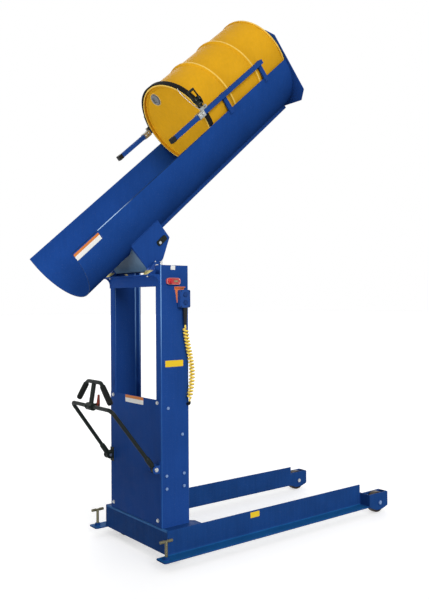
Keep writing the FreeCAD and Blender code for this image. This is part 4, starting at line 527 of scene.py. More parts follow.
def put(name: str, data: bpy.types.ID) -> bpy.types.Object:
    """Put a new object in the scene.

    Args:
        name: Its name.
        data: Its mesh, curve, lamp or camera.

    Returns:
        The object.
    """
    made = bpy.data.objects.new(name, data)
    bpy.context.scene.collection.objects.link(made)
    return made


def facing(spot: Vector, way: Vector, axis: str = "Z") -> Matrix:
    """Find how a thing stands on a spot with one of its axes along a direction.

    Args:
        spot: Where it stands.
        way: The direction.
        axis: The axis.

    Returns:
        The matrix that puts it there.
    """
    return Matrix.Translation(spot) @ way.to_track_quat(axis, "Y").to_matrix().to_4x4()


def new_piece(name: str, mesh: bmesh.types.BMesh, finish: Finish, body: Body, *more: Finish) -> bpy.types.Object:
    """Make a mesh object that rides on a body.

    Args:
        name: The piece's name.
        mesh: Its shape in the row's frame, which is used up.
        finish: Its first finish.
        body: The body it rides on.
        *more: Further finishes for faces with a higher material index.

    Returns:
        The new object.
    """
    data = bpy.data.meshes.new(name)
    mesh.to_mesh(data)
    mesh.free()
    for each in (finish, *more):
        data.materials.append(each.material())
    piece = put(name, data)
    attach(piece, body.value)
    LOG.info("piece %s on %s", name, body.value)
    return piece


def smooth(mesh: bmesh.types.BMesh) -> None:
    """Shade every face of a mesh smoothly."""
    for face in mesh.faces:
        face.smooth = True


def thicken(sheet: bpy.types.Object, thick: float, offset: float = 1.0) -> bpy.types.Modifier:
    """Give a thin sheet its thickness.

    Args:
        sheet: The sheet's object.
        thick: Its thickness in millimetres.
        offset: One to grow the way its faces look, minus one to grow the other way.

    Returns:
        The modifier that does it.
    """
    wall = sheet.modifiers.new("thickness", "SOLIDIFY")
    wall.thickness = thick / MM_PER_M
    wall.offset = offset
    return wall


@dataclass
class ChutePlace:
    """The chute's own directions: s along the trough, y across and h square to it, from the tilting axis."""

    pivot_x: float = 12.0
    pivot_z: float = 1785.0
    angle: float = 41.0
    drum_axis: float = 515.0
    trough_axis: float = 403.0

    def point(self, s: float, y: float, h: float) -> Vector:
        """Find a place in the chute.

        Args:
            s: Distance along the trough, in millimetres.
            y: Distance from its middle.
            h: Distance square to it.

        Returns:
            The place in the row's frame.
        """
        turn = math.radians(self.angle)
        x = self.pivot_x + s * math.cos(turn) - h * math.sin(turn)
        return row(x, y, self.pivot_z + s * math.sin(turn) + h * math.cos(turn))

    def round_drum(self, s: float, angle: float, radius: float) -> Vector:
        """Find a place by its angle above the drum's near side.

        Args:
            s: Distance along the trough, in millimetres.
            angle: The angle in degrees.
            radius: Distance from the drum's axis.

        Returns:
            The place in the row's frame.
        """
        turn = math.radians(angle)
        return self.point(s, -radius * math.cos(turn), self.drum_axis + radius * math.sin(turn))

    def direction(self, s: float, y: float, h: float) -> Vector:
        """Return a direction in the row's frame for a direction in the chute."""
        return (self.point(s, y, h) - self.point(0, 0, 0)).normalized()

    def inside(self, spot: Vector) -> Vector:
        """Return the chute's own s, y and h, in millimetres, of a place in the row's frame."""
        away = spot - self.point(0, 0, 0)
        return MM_PER_M * Vector((away.dot(self.direction(1, 0, 0)), away.y, away.dot(self.direction(0, 0, 1))))


def nurbs_line(name: str, points: list[Vector], fineness: int = 6) -> bpy.types.Object:
    """Make a smooth open curve with the given control points.

    Args:
        name: Name of the curve.
        points: Control points in the row's frame.
        fineness: Steps between two control points.

    Returns:
        The curve object, with no thickness yet.
    """
    data = bpy.data.curves.new(name, "CURVE")
    data.dimensions = "3D"
    spline = data.splines.new("NURBS")
    spline.points.add(len(points) - 1)
    for target, point in zip(spline.points, points):
        target.co = (*point, 1.0)
    spline.order_u = 3
    spline.use_endpoint_u = True
    data.resolution_u = fineness
    return put(name, data)


def line_points(curve: bpy.types.Object) -> list[Vector]:
    """Read the points of a curve with no thickness.

    Args:
        curve: The curve's object.

    Returns:
        The points along it.
    """
    data = bpy.data.meshes.new_from_object(curve)
    points = [vertex.co.copy() for vertex in data.vertices]
    bpy.data.meshes.remove(data)
    return points


def length_of(points: list[Vector]) -> float:
    """Return the length of a line through points."""
    return sum((b - a).length for a, b in zip(points, points[1:]))


def place_along(points: list[Vector], share: float) -> Vector:
    """Return the place at a share of a line's length.

    Args:
        points: The line.
        share: Zero at its start and one at its end.

    Returns:
        The place.
    """
    left = share * length_of(points)
    for a, b in zip(points, points[1:]):
        step = (b - a).length
        if left < step:
            return a.lerp(b, left / step)
        left -= step
    return points[-1]


def fill_out(line: bpy.types.Object, radius: float, finish: Finish, fineness: int) -> float:
    """Measure a cord's line and give it its thickness and finish.

    Args:
        line: The curve's object.
        radius: The cord's radius in millimetres.
        finish: Its finish.
        fineness: How finely its round is drawn.

    Returns:
        The line's length in metres.
    """
    measured = length_of(line_points(line))
    line.data.bevel_depth = radius / MM_PER_M
    line.data.bevel_resolution = fineness
    line.data.use_fill_caps = True
    line.data.materials.append(finish.material())
    LOG.info("cord %s, %.3f m", line.name, measured)
    return measured


@dataclass
class PendantCord:
    """Curly cord from the pendant's gland to the elbow on the mast."""

    radius: float = 5.5
    curl: float = 13.4
    curls: int = 22
    steps: int = 16
    top: Spot = (165.0, -326.0, 1430.0)
    foot: Spot = (190.0, -332.0, 958.0)
    bow: tuple[Spot, ...] = (
        (167.0, -326.0, 1395.0), (182.0, -327.0, 1310.0), (205.0, -328.0, 1215.0), (214.0, -329.0, 1140.0),
        (207.0, -331.0, 1060.0), (192.0, -332.0, 990.0))
    bow_fineness: int = 40

    def route(self) -> list[Vector]:
        """Find the middle line of the curls.

        Returns:
            Points along it.
        """
        stub = 2 * self.radius
        points = [row(self.top[0], self.top[1], self.top[2] - stub)]
        points += [row(*spot) for spot in self.bow]
        points.append(row(self.foot[0], self.foot[1], self.foot[2] + stub))
        guide = nurbs_line("cord_guide", points, self.bow_fineness)
        line = line_points(guide)
        bpy.data.objects.remove(guide)
        return line

    def turned(self, curl: float) -> float:
        """Return how many turns the cord has made at a curl, slower in the first and last so that it bends gently.

        Args:
            curl: How many curls of the cord are passed.

        Returns:
            The turns.
        """
        left = self.curls - curl
        if curl < 1.0:
            return curl * curl / 2
        return self.curls - 1 - left * left / 2 if left < 1.0 else curl - 0.5

    def wound(self) -> list[Vector]:
        """Wind the cord: a straight stub, the curls and a straight stub.

        Returns:
            The cord's control points.
        """
        line = self.route()
        count = self.curls * self.steps
        points = [row(*self.top)]
        for k in range(count + 1):
            t = k / count
            centre = place_along(line, t)
            swell = min(1.0, t * self.curls, (1 - t) * self.curls)
            turn = 2 * math.pi * self.turned(t * self.curls)
            out = Vector((math.cos(turn), math.sin(turn), 0.0))
            # The first and last curl swell along an S-shaped curve, without a kink.
            points.append(centre + out * (self.curl * swell * swell * (3 - 2 * swell) / MM_PER_M))
        points.append(row(*self.foot))
        return points

    def build(self) -> None:
        cord = nurbs_line("pendant_cord", self.wound())
        measured = fill_out(cord, self.radius, JACKET, fineness=3)
        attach(cord, Body.FRAME.value)
        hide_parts("curly_cord")


@dataclass
class PressureHose:
    """Hose from the pump block up behind the panel to the cylinder's foot."""

    radius: float = 7.0
    points: tuple[Spot, ...] = (
        (52.0, -90.0, 202.0), (52.0, -90.0, 270.0), (104.0, -235.0, 400.0), (104.0, -235.0, 912.0),
        (91.4, -235.0, 958.0), (91.4, -235.0, 995.0), (91.4, -205.05, 995.0))

    def build(self) -> None:
        hose = nurbs_line("pressure_hose_run", [row(*p) for p in self.points])
        measured = fill_out(hose, self.radius, RUBBER, fineness=4)
        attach(hose, Body.FRAME.value)
        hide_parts("pressure_hose")


@dataclass
class DrumStrap:
    """Webbing strap over the drum, from rim to rim of the trough."""

    place: ChutePlace
    near_edge: float = 886.0
    width: float = 40.0
    inner: float = 293.3
    slack: float = 0.2
    thick: float = 2.6
    start: float = -16.5
    end: float = 196.5
    padding: float = 13.0
    padded: Span = (62.0, 194.0)
    steps: int = 120
    strips: int = 6

    def thickness(self, angle: float) -> float:
        """Return the strap's thickness at an angle: it is padded over the chime on the far side, by its link."""
        share = (angle - self.padded[0]) / (self.padded[1] - self.padded[0])
        return self.thick + (self.padding * math.sin(math.pi * share) ** 2 if 0.0 < share < 1.0 else 0.0)

    def build(self) -> None:
        """Bend a flat strip with its own map round the drum and give it thickness."""
        mesh = bmesh.new()
        bmesh.ops.create_grid(mesh, x_segments=self.steps, y_segments=self.strips, size=0.5)
        layer = mesh.loops.layers.uv.new("strap")
        sweep = self.end - self.start
        length = math.radians(sweep) * self.inner
        for face in mesh.faces:
            for loop in face.loops:
                spot = loop.vert.co
                loop[layer].uv = ((spot.x + 0.5) * length / MM_PER_M, (spot.y + 0.5) * self.width / MM_PER_M)
        full = self.thick + self.padding
        shares = []
        for vert in mesh.verts:
            angle = self.start + (vert.co.x + 0.5) * sweep
            shares.append(self.thickness(angle) / full)
            s = self.near_edge + (vert.co.y + 0.5) * self.width
            vert.co = self.place.round_drum(s, angle, self.inner + self.slack)
        bmesh.ops.recalc_face_normals(mesh, faces=mesh.faces)
        smooth(mesh)
        strap = new_piece("strap_webbing", mesh, WEBBING, Body.CHUTE)
        group = strap.vertex_groups.new(name="thickness")
        for index, share in enumerate(shares):
            group.add([index], share, "REPLACE")
        # The strip's faces look at the drum, so it grows the other way.
        thicken(strap, full, offset=-1.0).vertex_group = group.name
        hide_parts("drum_strap")


@dataclass
class FoamGrips:
    """Foam sleeves on the drooping ends of the handlebar."""

    knee: Spot = (-288.0, 84.0, 1086.0)
    end: Spot = (-288.0, 192.0, 976.0)
    radius: float = 18.0
    setback: float = 24.0
    sides: int = 40
    mouth: float = 0.8
    # Shares of the sleeve's length and, at each, of its radius.
    profile: tuple[Span, ...] = ((0.02, 0.92), (0.05, 0.98), (0.3, 1.0), (0.55, 1.015), (0.8, 1.0), (0.95, 0.98),
                                 (0.985, 0.92), (1.0, 0.8))

    def sleeve(self, length: float) -> bmesh.types.BMesh:
        """Draw a sleeve along Z, a little fuller in the middle and rounded at the ends.

        Args:
            length: Its length in metres.

        Returns:
            Its mesh.
        """
        mesh = bmesh.new()
        bmesh.ops.create_circle(mesh, cap_ends=False, segments=self.sides, radius=self.radius * self.mouth / MM_PER_M)
        edges = mesh.edges[:]
        for at, wide in self.profile:
            grown = bmesh.ops.extrude_edge_only(mesh, edges=edges)["geom"]
            edges = [item for item in grown if isinstance(item, bmesh.types.BMEdge)]
            for vert in (item for item in grown if isinstance(item, bmesh.types.BMVert)):
                flat = Vector((vert.co.x, vert.co.y, 0.0)).normalized() * (self.radius * wide / MM_PER_M)
                vert.co = flat + UP * (at * length)
        bmesh.ops.holes_fill(mesh, edges=mesh.edges, sides=0)
        return mesh

    def build(self) -> None:
        """Make both sleeves."""
        for side, name in ((NEAR_SIDE, "foam_grip_near"), (FAR_SIDE, "foam_grip_far")):
            knee = row(self.knee[0], side * self.knee[1], self.knee[2])
            end = row(self.end[0], side * self.end[1], self.end[2])
            down = (end - knee).normalized()
            start = knee + down * (self.setback / MM_PER_M)
            mesh = self.sleeve((end - start).length + self.radius / 2 / MM_PER_M)
            bmesh.ops.transform(mesh, matrix=facing(start, down), verts=mesh.verts)
            bmesh.ops.recalc_face_normals(mesh, faces=mesh.faces)
            smooth(mesh)
            grip = new_piece(name, mesh, FOAM, Body.HANDLE)
            if side == NEAR_SIDE:
                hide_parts("handle_grips")


@dataclass(frozen=True)
class Plate:
    """A blank plate on the frame: its middle, the way it runs, its size and its colours.

    The inside colour fills the plate within its margin or, where the plate has a band, that share of it at the top.
    """

    name: str
    middle: Vector
    across: Vector
    width: float
    height: float
    border: Finish
    inside: Finish
    band: float = 0.0
    margin: float = 2.5


@dataclass
class BlankPlates:
    """Blank vinyl plates on the mast, a leg and the panel."""

    thick: float = 0.8
    corner: float = 4.0

    def lay_out(self) -> list[Plate]:
        """List the plates.

        Returns:
            The plates, each just proud of its face.
        """
        return [
            Plate("mast_plate", row(95.0, -306.2, 1195.0), BEHIND, width=132.0, height=39.0, border=VINYL_BLACK,
                  inside=VINYL_YELLOW),
            Plate("crown_plate", row(89.0, -306.2, 1780.0), BEHIND, width=33.0, height=26.0, border=VINYL_WHITE,
                  inside=VINYL_WHITE),
            Plate("leg_plate", row(683.0, -371.2, 180.0), BEHIND, width=78.0, height=36.0, border=VINYL_BLACK,
                  inside=VINYL_YELLOW),
            Plate("panel_plate", row(-3.2, 2.0, 952.0), NEAR, width=216.0, height=46.0, border=VINYL_WHITE,
                  inside=VINYL_ORANGE, band=0.4),
        ]

    def build(self) -> None:
        """Make every plate as a thin sheet with rounded corners and its colours."""
        for plate in self.lay_out():
            mesh = bmesh.new()
            bmesh.ops.create_grid(mesh, x_segments=1, y_segments=1, size=0.5)
            for vert in mesh.verts:
                vert.co.x *= plate.width / MM_PER_M
                vert.co.y *= plate.height / MM_PER_M
            bmesh.ops.bevel(mesh, geom=mesh.verts, offset=self.corner / MM_PER_M, segments=4, profile=0.5,
                            affect="VERTICES", material=-1)
            inner = mesh.faces[:]
            bmesh.ops.inset_region(mesh, faces=inner, thickness=plate.margin / MM_PER_M)
            for face in inner:
                face.material_index = 1
            if plate.band:
                level = (0.5 - plate.band) * plate.height / MM_PER_M
                bmesh.ops.bisect_plane(mesh, geom=mesh.verts[:] + mesh.edges[:] + mesh.faces[:],
                                       plane_co=(0.0, level, 0.0), plane_no=(0.0, 1.0, 0.0))
                for face in mesh.faces:
                    face.material_index = 1 if face.calc_center_median().y > level else 0
            out = plate.across.cross(UP).normalized()
            basis = Matrix((plate.across, UP, out)).transposed().to_4x4()
            bmesh.ops.transform(mesh, matrix=Matrix.Translation(plate.middle) @ basis, verts=mesh.verts)
            thicken(new_piece(plate.name, mesh, plate.border, Body.FRAME, plate.inside), self.thick)


@dataclass
class MouthPlate:
    """Blank plate near the chute's mouth, bent to the trough's wall, white with an orange stripe along the rim."""

    place: ChutePlace
    middle: float = -305.0
    length: float = 204.0
    edges: Span = (9.0, 51.0)
    stripe: float = 14.0
    strips: int = 14
    rim: float = 427.0
    radius: float = 290.3
    thick: float = 0.8

    def build(self) -> None:
        """Bend a flat strip over the wall's straight rim and its curve."""
        mesh = bmesh.new()
        bmesh.ops.create_grid(mesh, x_segments=1, y_segments=self.strips, size=0.5)
        for vert in mesh.verts:
            down = self.edges[0] + (0.5 - vert.co.y) * (self.edges[1] - self.edges[0])
            turn = max(0.0, down - (self.rim - self.place.trough_axis)) / self.radius
            h = self.rim - down if turn == 0.0 else self.place.trough_axis - self.radius * math.sin(turn)
            vert.co = self.place.point(self.middle + vert.co.x * self.length, -self.radius * math.cos(turn), h)
        for face in mesh.faces:
            spot = self.place.inside(face.calc_center_median())
            face.material_index = int(spot.z > self.rim - self.edges[0] - self.stripe)
        bmesh.ops.recalc_face_normals(mesh, faces=mesh.faces)
        if mesh.faces[0].normal.y > 0:
            bmesh.ops.reverse_faces(mesh, faces=mesh.faces)
        thicken(new_piece("mouth_plate", mesh, VINYL_WHITE, Body.CHUTE, VINYL_ORANGE), self.thick)


@dataclass(frozen=True)
class Stud:
    """A disc, a washer or a hexagon with a broken top edge.

    Its radius goes over the corners, and the depth of the teeth on its rim is a share of that radius.
    """

    radius: float
    height: float
    sides: int = 24
    break_edge: float = 0.5
    tooth: float = 0.0


@dataclass(frozen=True)
class Bolt:
    """A hexagon head on a washer: width over its flats, height of the head and radius of the washer."""

    flats: float
    height: float
    washer: float
    washer_height: float = 2.0
    break_edge: float = 0.9


@dataclass
class Fittings:
    """Small hard fittings of one finish on one body, gathered into one piece."""

    name: str
    body: Body
    finish: Finish
    mesh: bmesh.types.BMesh = field(default_factory=bmesh.new)

    def stud(self, spot: Vector, out: Vector, size: Stud) -> None:
        """Add a disc, a washer or a hexagon.

        Args:
            spot: Where it stands.
            out: The way it stands up.
            size: Its sizes.
        """
        shape = bmesh.new()
        radius = size.radius / MM_PER_M
        bmesh.ops.create_cone(shape, cap_ends=True, cap_tris=False, segments=size.sides, radius1=radius,
                              radius2=radius, depth=size.height / MM_PER_M)
        if size.tooth:
            step = 2 * math.pi / size.sides
            sunk = [v for v in shape.verts if round(math.atan2(v.co.y, v.co.x) / step) % 2]
            bmesh.ops.scale(shape, vec=(1.0 - size.tooth, 1.0 - size.tooth, 1.0), verts=sunk)
        top = [edge for edge in shape.edges if all(vert.co.z > 0.0 for vert in edge.verts)]
        bmesh.ops.translate(shape, vec=(0.0, 0.0, size.height / 2 / MM_PER_M), verts=shape.verts)
        bmesh.ops.bevel(shape, geom=top, offset=size.break_edge / MM_PER_M, segments=2, profile=0.5, affect="EDGES",
                        material=-1)
        bmesh.ops.transform(shape, matrix=facing(spot, out), verts=shape.verts)
        data = bpy.data.meshes.new("joined")
        shape.to_mesh(data)
        shape.free()
        self.mesh.from_mesh(data)
        bpy.data.meshes.remove(data)

    def bolt(self, spot: Vector, out: Vector, size: Bolt) -> None:
        """Add a hexagon head on a washer.

        Args:
            spot: Where the washer lies.
            out: The way the head stands up.
            size: The bolt's sizes.
        """
        head = Stud(size.flats / math.sqrt(3), size.height, sides=6, break_edge=size.break_edge)
        self.stud(spot, out, Stud(size.washer, size.washer_height))
        self.stud(spot + out * (size.washer_height / MM_PER_M), out, head)

    def build(self) -> None:
        """Make the gathered piece."""
        new_piece(self.name, self.mesh, self.finish, self.body)


def straight(start: Vector, end: Vector, step: float) -> list[Vector]:
    """Return points along a seam, a step in millimetres apart."""
    count = max(2, round((end - start).length * MM_PER_M / step))
    return [start.lerp(end, k / count) for k in range(count + 1)]


@dataclass
class Tubes:
    """Round wire or rippled weld beads of one finish on one body, gathered into one piece."""

    name: str
    body: Body
    finish: Finish
    radius: float
    paths: list[list[Vector]]
    ripple: float = 0.0
    fineness: int = 1

    def build(self) -> None:
        """Give every path its thickness and make it a mesh."""
        data = bpy.data.curves.new(self.name, "CURVE")
        data.dimensions = "3D"
        data.bevel_depth = self.radius / MM_PER_M
        data.bevel_resolution = self.fineness
        data.use_fill_caps = True
        for path in self.paths:
            spline = data.splines.new("POLY")
            spline.points.add(len(path) - 1)
            for k, (target, point) in enumerate(zip(spline.points, path)):
                target.co = (*point, 1.0)
                target.radius = 1.0 + self.ripple * (1 - 2 * (k % 2))
        curve = put(self.name, data)
        made = bpy.data.meshes.new_from_object(curve)
        bpy.data.objects.remove(curve)
        mesh = bmesh.new()
        mesh.from_mesh(made)
        bpy.data.meshes.remove(made)
        smooth(mesh)
        new_piece(self.name, mesh, self.finish, self.body)


@dataclass
class Welds:
    """Weld beads of the frame and of the chute, under the enamel."""

    place: ChutePlace
    radius: float = 3.5
    step: float = 4.0
    ripple: float = 0.14
    # Straight seams of the frame's far side: mast on deck, wheel fork, handle clevis and shelf.
    seams: tuple[tuple[Spot, Spot], ...] = (
        ((8.0, 306.0, 206.0), (195.0, 306.0, 206.0)), ((1717.0, 371.0, 64.0), (1717.0, 371.0, 145.0)),
        ((1717.0, 375.0, 62.0), (1717.0, 458.0, 62.0)), ((-3.0, 301.0, 520.0), (-3.0, 301.0, 606.0)),
        ((-3.0, 255.0, 520.0), (-3.0, 255.0, 606.0)), ((-8.0, 292.0, 1684.0), (-8.0, 292.0, 1728.0)),
        ((-10.0, 292.0, 1730.0), (-52.0, 292.0, 1730.0)))
    # The square ends of the cross members between the channels.
    tie_x: Span = (41.0, 91.0)
    tie_y: float = 291.0
    tie_heights: Span = (479.0, 862.0)
    tie_half: float = 25.0
    # The nuts of the screw jacks.
    nut_top: float = 62.5
    nut_radius: float = 17.5
    nut_steps: int = 28
    # The trough, its ears, its brace, the stitches along its keel and the feet of its rails' posts.
    trough_radius: float = 290.0
    ear_s: Span = (-34.0, 215.0)
    ear_faces: Span = (194.0, 206.0)
    brace_s: float = -38.0
    brace_half: float = 188.0
    brace_steps: int = 94
    keel_face: float = 64.5
    stitches: int = 8
    first_stitch: float = 245.0
    stitch_pitch: float = 205.0
    stitch_length: float = 75.0
    posts: Span = (1084.0, 1492.0)
    post_width: float = 32.0
    post_face: float = 290.5
    post_foot: float = 404.0
    post_h: Span = (405.0, 426.0)
    # The end plate's round.
    end_s: float = 1762.5
    end_radius: float = 291.0
    end_angle: float = 87.0
    end_steps: int = 220

    def frame_paths(self) -> list[list[Vector]]:
        """List the seams of the frame.

        Returns:
            Their paths.
        """
        runs = []
        for side in SIDES:
            runs += [tuple((x, side * y, z) for x, y, z in seam) for seam in self.seams]
            y = side * self.tie_y
            for z in self.tie_heights:
                low, high = z - self.tie_half, z + self.tie_half
                runs += [((x, y, low), (x, y, high)) for x in self.tie_x]
                runs += [((self.tie_x[0], y, level), (self.tie_x[1], y, level)) for level in (low, high)]
        paths = [straight(row(*start), row(*end), self.step) for start, end in runs]
        x, y = FAR_JACK
        turns = [2 * math.pi * k / self.nut_steps for k in range(self.nut_steps + 1)]
        for side in SIDES:
            paths.append([row(x + self.nut_radius * math.cos(t), side * y + self.nut_radius * math.sin(t),
                              self.nut_top) for t in turns])
        return paths

    def under(self, s: float, y: float) -> Vector:
        """Return the place on the trough's underside above a line y."""
        return self.place.point(s, y, self.place.trough_axis - math.sqrt(self.trough_radius ** 2 - y ** 2))

    def post_paths(self, side: float) -> list[list[Vector]]:
        """List the seams round the feet of one rail's posts.

        Args:
            side: Minus one on the near side, one on the far side.

        Returns:
            Their paths, the upright ones first.
        """
        y = side * self.post_face
        uprights = [s + wide for s in self.posts for wide in (0.0, self.post_width)]
        ends = [tuple(self.place.point(s, y, h) for h in self.post_h) for s in uprights]
        ends += [tuple(self.place.point(s + wide, y, self.post_foot) for wide in (0.0, self.post_width))
                 for s in self.posts]
        return [straight(start, end, self.step) for start, end in ends]

    def chute_paths(self) -> list[list[Vector]]:
        """List the seams of the chute.

        Returns:
            Their paths.
        """
        paths = []
        for side in SIDES:
            for y in self.ear_faces:
                paths.append(straight(*(self.under(s, side * y) for s in self.ear_s), self.step))
            y = side * self.keel_face
            for k in range(self.stitches):
                start = self.first_stitch + self.stitch_pitch * k
                paths.append(straight(self.under(start, y), self.under(start + self.stitch_length, y), self.step))
            paths += self.post_paths(side)
        turns = [math.radians(self.end_angle * (2 * k / self.end_steps - 1)) for k in range(self.end_steps + 1)]
        paths.append([self.place.point(self.end_s, self.end_radius * math.sin(t),
                                       self.place.trough_axis - self.end_radius * math.cos(t)) for t in turns])
        paths.append([self.under(self.brace_s, self.brace_half * (2 * k / self.brace_steps - 1))
                      for k in range(self.brace_steps + 1)])
        return paths

    def build(self) -> None:
        """Lay the beads."""
        Tubes("frame_welds", Body.FRAME, BLUE, self.radius, self.frame_paths(), ripple=self.ripple).build()
        Tubes("chute_welds", Body.CHUTE, BLUE, self.radius, self.chute_paths(), ripple=self.ripple).build()


def rounded(x: Span, y: float, z: Span, radius: float) -> list[Vector]:
    """Return a closed path with round corners on a face that looks along Y.

    Args:
        x: Its limits along the machine.
        y: Where the face is.
        z: Its limits in height.
        radius: Radius of its corners.

    Returns:
        The path in the row's frame, its last point on its first.
    """
    path = []
    corners = ((x[1] - radius, z[1] - radius), (x[0] + radius, z[1] - radius), (x[0] + radius, z[0] + radius),
               (x[1] - radius, z[0] + radius))
    for quarter, (corner_x, corner_z) in enumerate(corners):
        for angle in range(0, 91, 15):
            turn = math.radians(90 * quarter + angle)
            path.append(row(corner_x + radius * math.cos(turn), y, corner_z + radius * math.sin(turn)))
    return path + path[:1]


def ring(centre: Vector, across: Vector, up: Vector, radius: float, steps: int = 32) -> list[Vector]:
    """Return a closed circular path round a centre, with a radius in millimetres."""
    turns = [2 * math.pi * k / steps for k in range(steps + 1)]
    return [centre + (across * math.cos(t) + up * math.sin(t)) * (radius / MM_PER_M) for t in turns]


@dataclass
class MastTrim:
    """Small fittings on the mast: washers, the isolator's rim and inset, the pendant's seam, screws and collars."""

    panel_bolts: Span = (246.0, 959.0)
    panel_bolt_y: float = 266.0
    panel_face: float = -3.0
    panel_washer: Stud = Stud(12.0, 2.0)
    web_bolts: tuple[Span, ...] = ((46.0, 926.0), (150.0, 758.0), (33.0, 440.0), (33.0, 518.0), (162.0, 440.0),
                                   (162.0, 518.0))
    web_face: float = 306.0
    web_washer: Stud = Stud(11.5, 2.0)
    # Grease nipples on the bearing housings: their place, and the height and size of the hexagon and the tip.
    nipple: Span = (12.0, 229.0)
    nipple_parts: tuple[tuple[float, Stud], ...] = (
        (1815.5, Stud(4.2, 5.0, sides=6)), (1820.0, Stud(2.8, 4.0, sides=16, break_edge=1.2)))
    screw_inset: float = 8.0
    pendant_screw: Stud = Stud(3.2, 1.4, sides=16)
    isolator_screw: Stud = Stud(2.6, 1.4, sides=16)
    isolator_x: Span = (39.0, 133.0)
    isolator_z: Span = (1678.0, 1716.0)
    isolator_face: float = -322.0
    isolator_corner: float = 13.0
    isolator_bead: float = 1.6
    # Discs of the isolator's inset: x and height of each, so that no two tops lie in one plane.
    inset_discs: tuple[Span, ...] = ((92.0, 1.5), (101.0, 1.7), (110.0, 1.9))
    inset_z: float = 1697.0
    inset_radius: float = 6.5
    pendant_x: Span = (119.0, 194.0)
    pendant_z: Span = (1536.0, 1645.0)
    pendant_face: float = -341.0
    pendant_corner: float = 10.0
    seam_y: float = -326.0
    seam_bead: float = 0.9
    button_x: float = 156.5
    button_heights: Span = (1614.5, 1566.5)
    collar_radius: float = 15.0
    collar_bead: float = 1.8

    def fasteners(self) -> None:
        """Make the washers, nipples and screws."""
        bright = Fittings("mast_fasteners", Body.FRAME, ZINC)
        painted = Fittings("mast_washers", Body.FRAME, BLUE)
        dark = Fittings("pendant_screws", Body.FRAME, BLACK)
        for side in SIDES:
            for z in self.panel_bolts:
                bright.stud(row(self.panel_face, side * self.panel_bolt_y, z), AHEAD, self.panel_washer)
            for x, z in self.web_bolts:
                painted.stud(row(x, side * self.web_face, z), NEAR * -side, self.web_washer)
            for z, size in self.nipple_parts:
                bright.stud(row(self.nipple[0], side * self.nipple[1], z), UP, size)
        for x in (self.pendant_x[0] + self.screw_inset, self.pendant_x[1] - self.screw_inset):
            for z in (self.pendant_z[0] + self.screw_inset, self.pendant_z[1] - self.screw_inset):
                dark.stud(row(x, self.pendant_face, z), NEAR, self.pendant_screw)
        x = self.isolator_x[1] - self.screw_inset
        for z in (self.isolator_z[0] + self.screw_inset, self.isolator_z[1] - self.screw_inset):
            bright.stud(row(x, self.isolator_face, z), NEAR, self.isolator_screw)
        for fittings in (bright, painted, dark):
            fittings.build()

    def build(self) -> None:
        """Make the fasteners, then the beads round the housings and buttons, then the inset."""
        self.fasteners()
        # The bead round the isolator is pale red as a painted highlight.
        rim_y = self.isolator_face + self.isolator_bead / 2
        rim = rounded(self.isolator_x, rim_y, self.isolator_z, self.isolator_corner)
        Tubes("isolator_rim", Body.FRAME, ISOLATOR_RIM_HIGHLIGHT, self.isolator_bead, [rim]).build()
        seam = rounded(self.pendant_x, self.seam_y, self.pendant_z, self.pendant_corner)
        Tubes("pendant_seam", Body.FRAME, RUBBER, self.seam_bead, [seam]).build()
        collars = [ring(row(self.button_x, self.pendant_face, z), BEHIND, UP, self.collar_radius)
                   for z in self.button_heights]
        Tubes("button_collars", Body.FRAME, BUTTON_BLUE, self.collar_bead, collars).build()
        inset = Fittings("isolator_inset", Body.FRAME, ISOLATOR_INSET)
        for x, height in self.inset_discs:
            inset.stud(row(x, self.isolator_face, self.inset_z), NEAR, Stud(self.inset_radius, height, sides=12))
        inset.build()


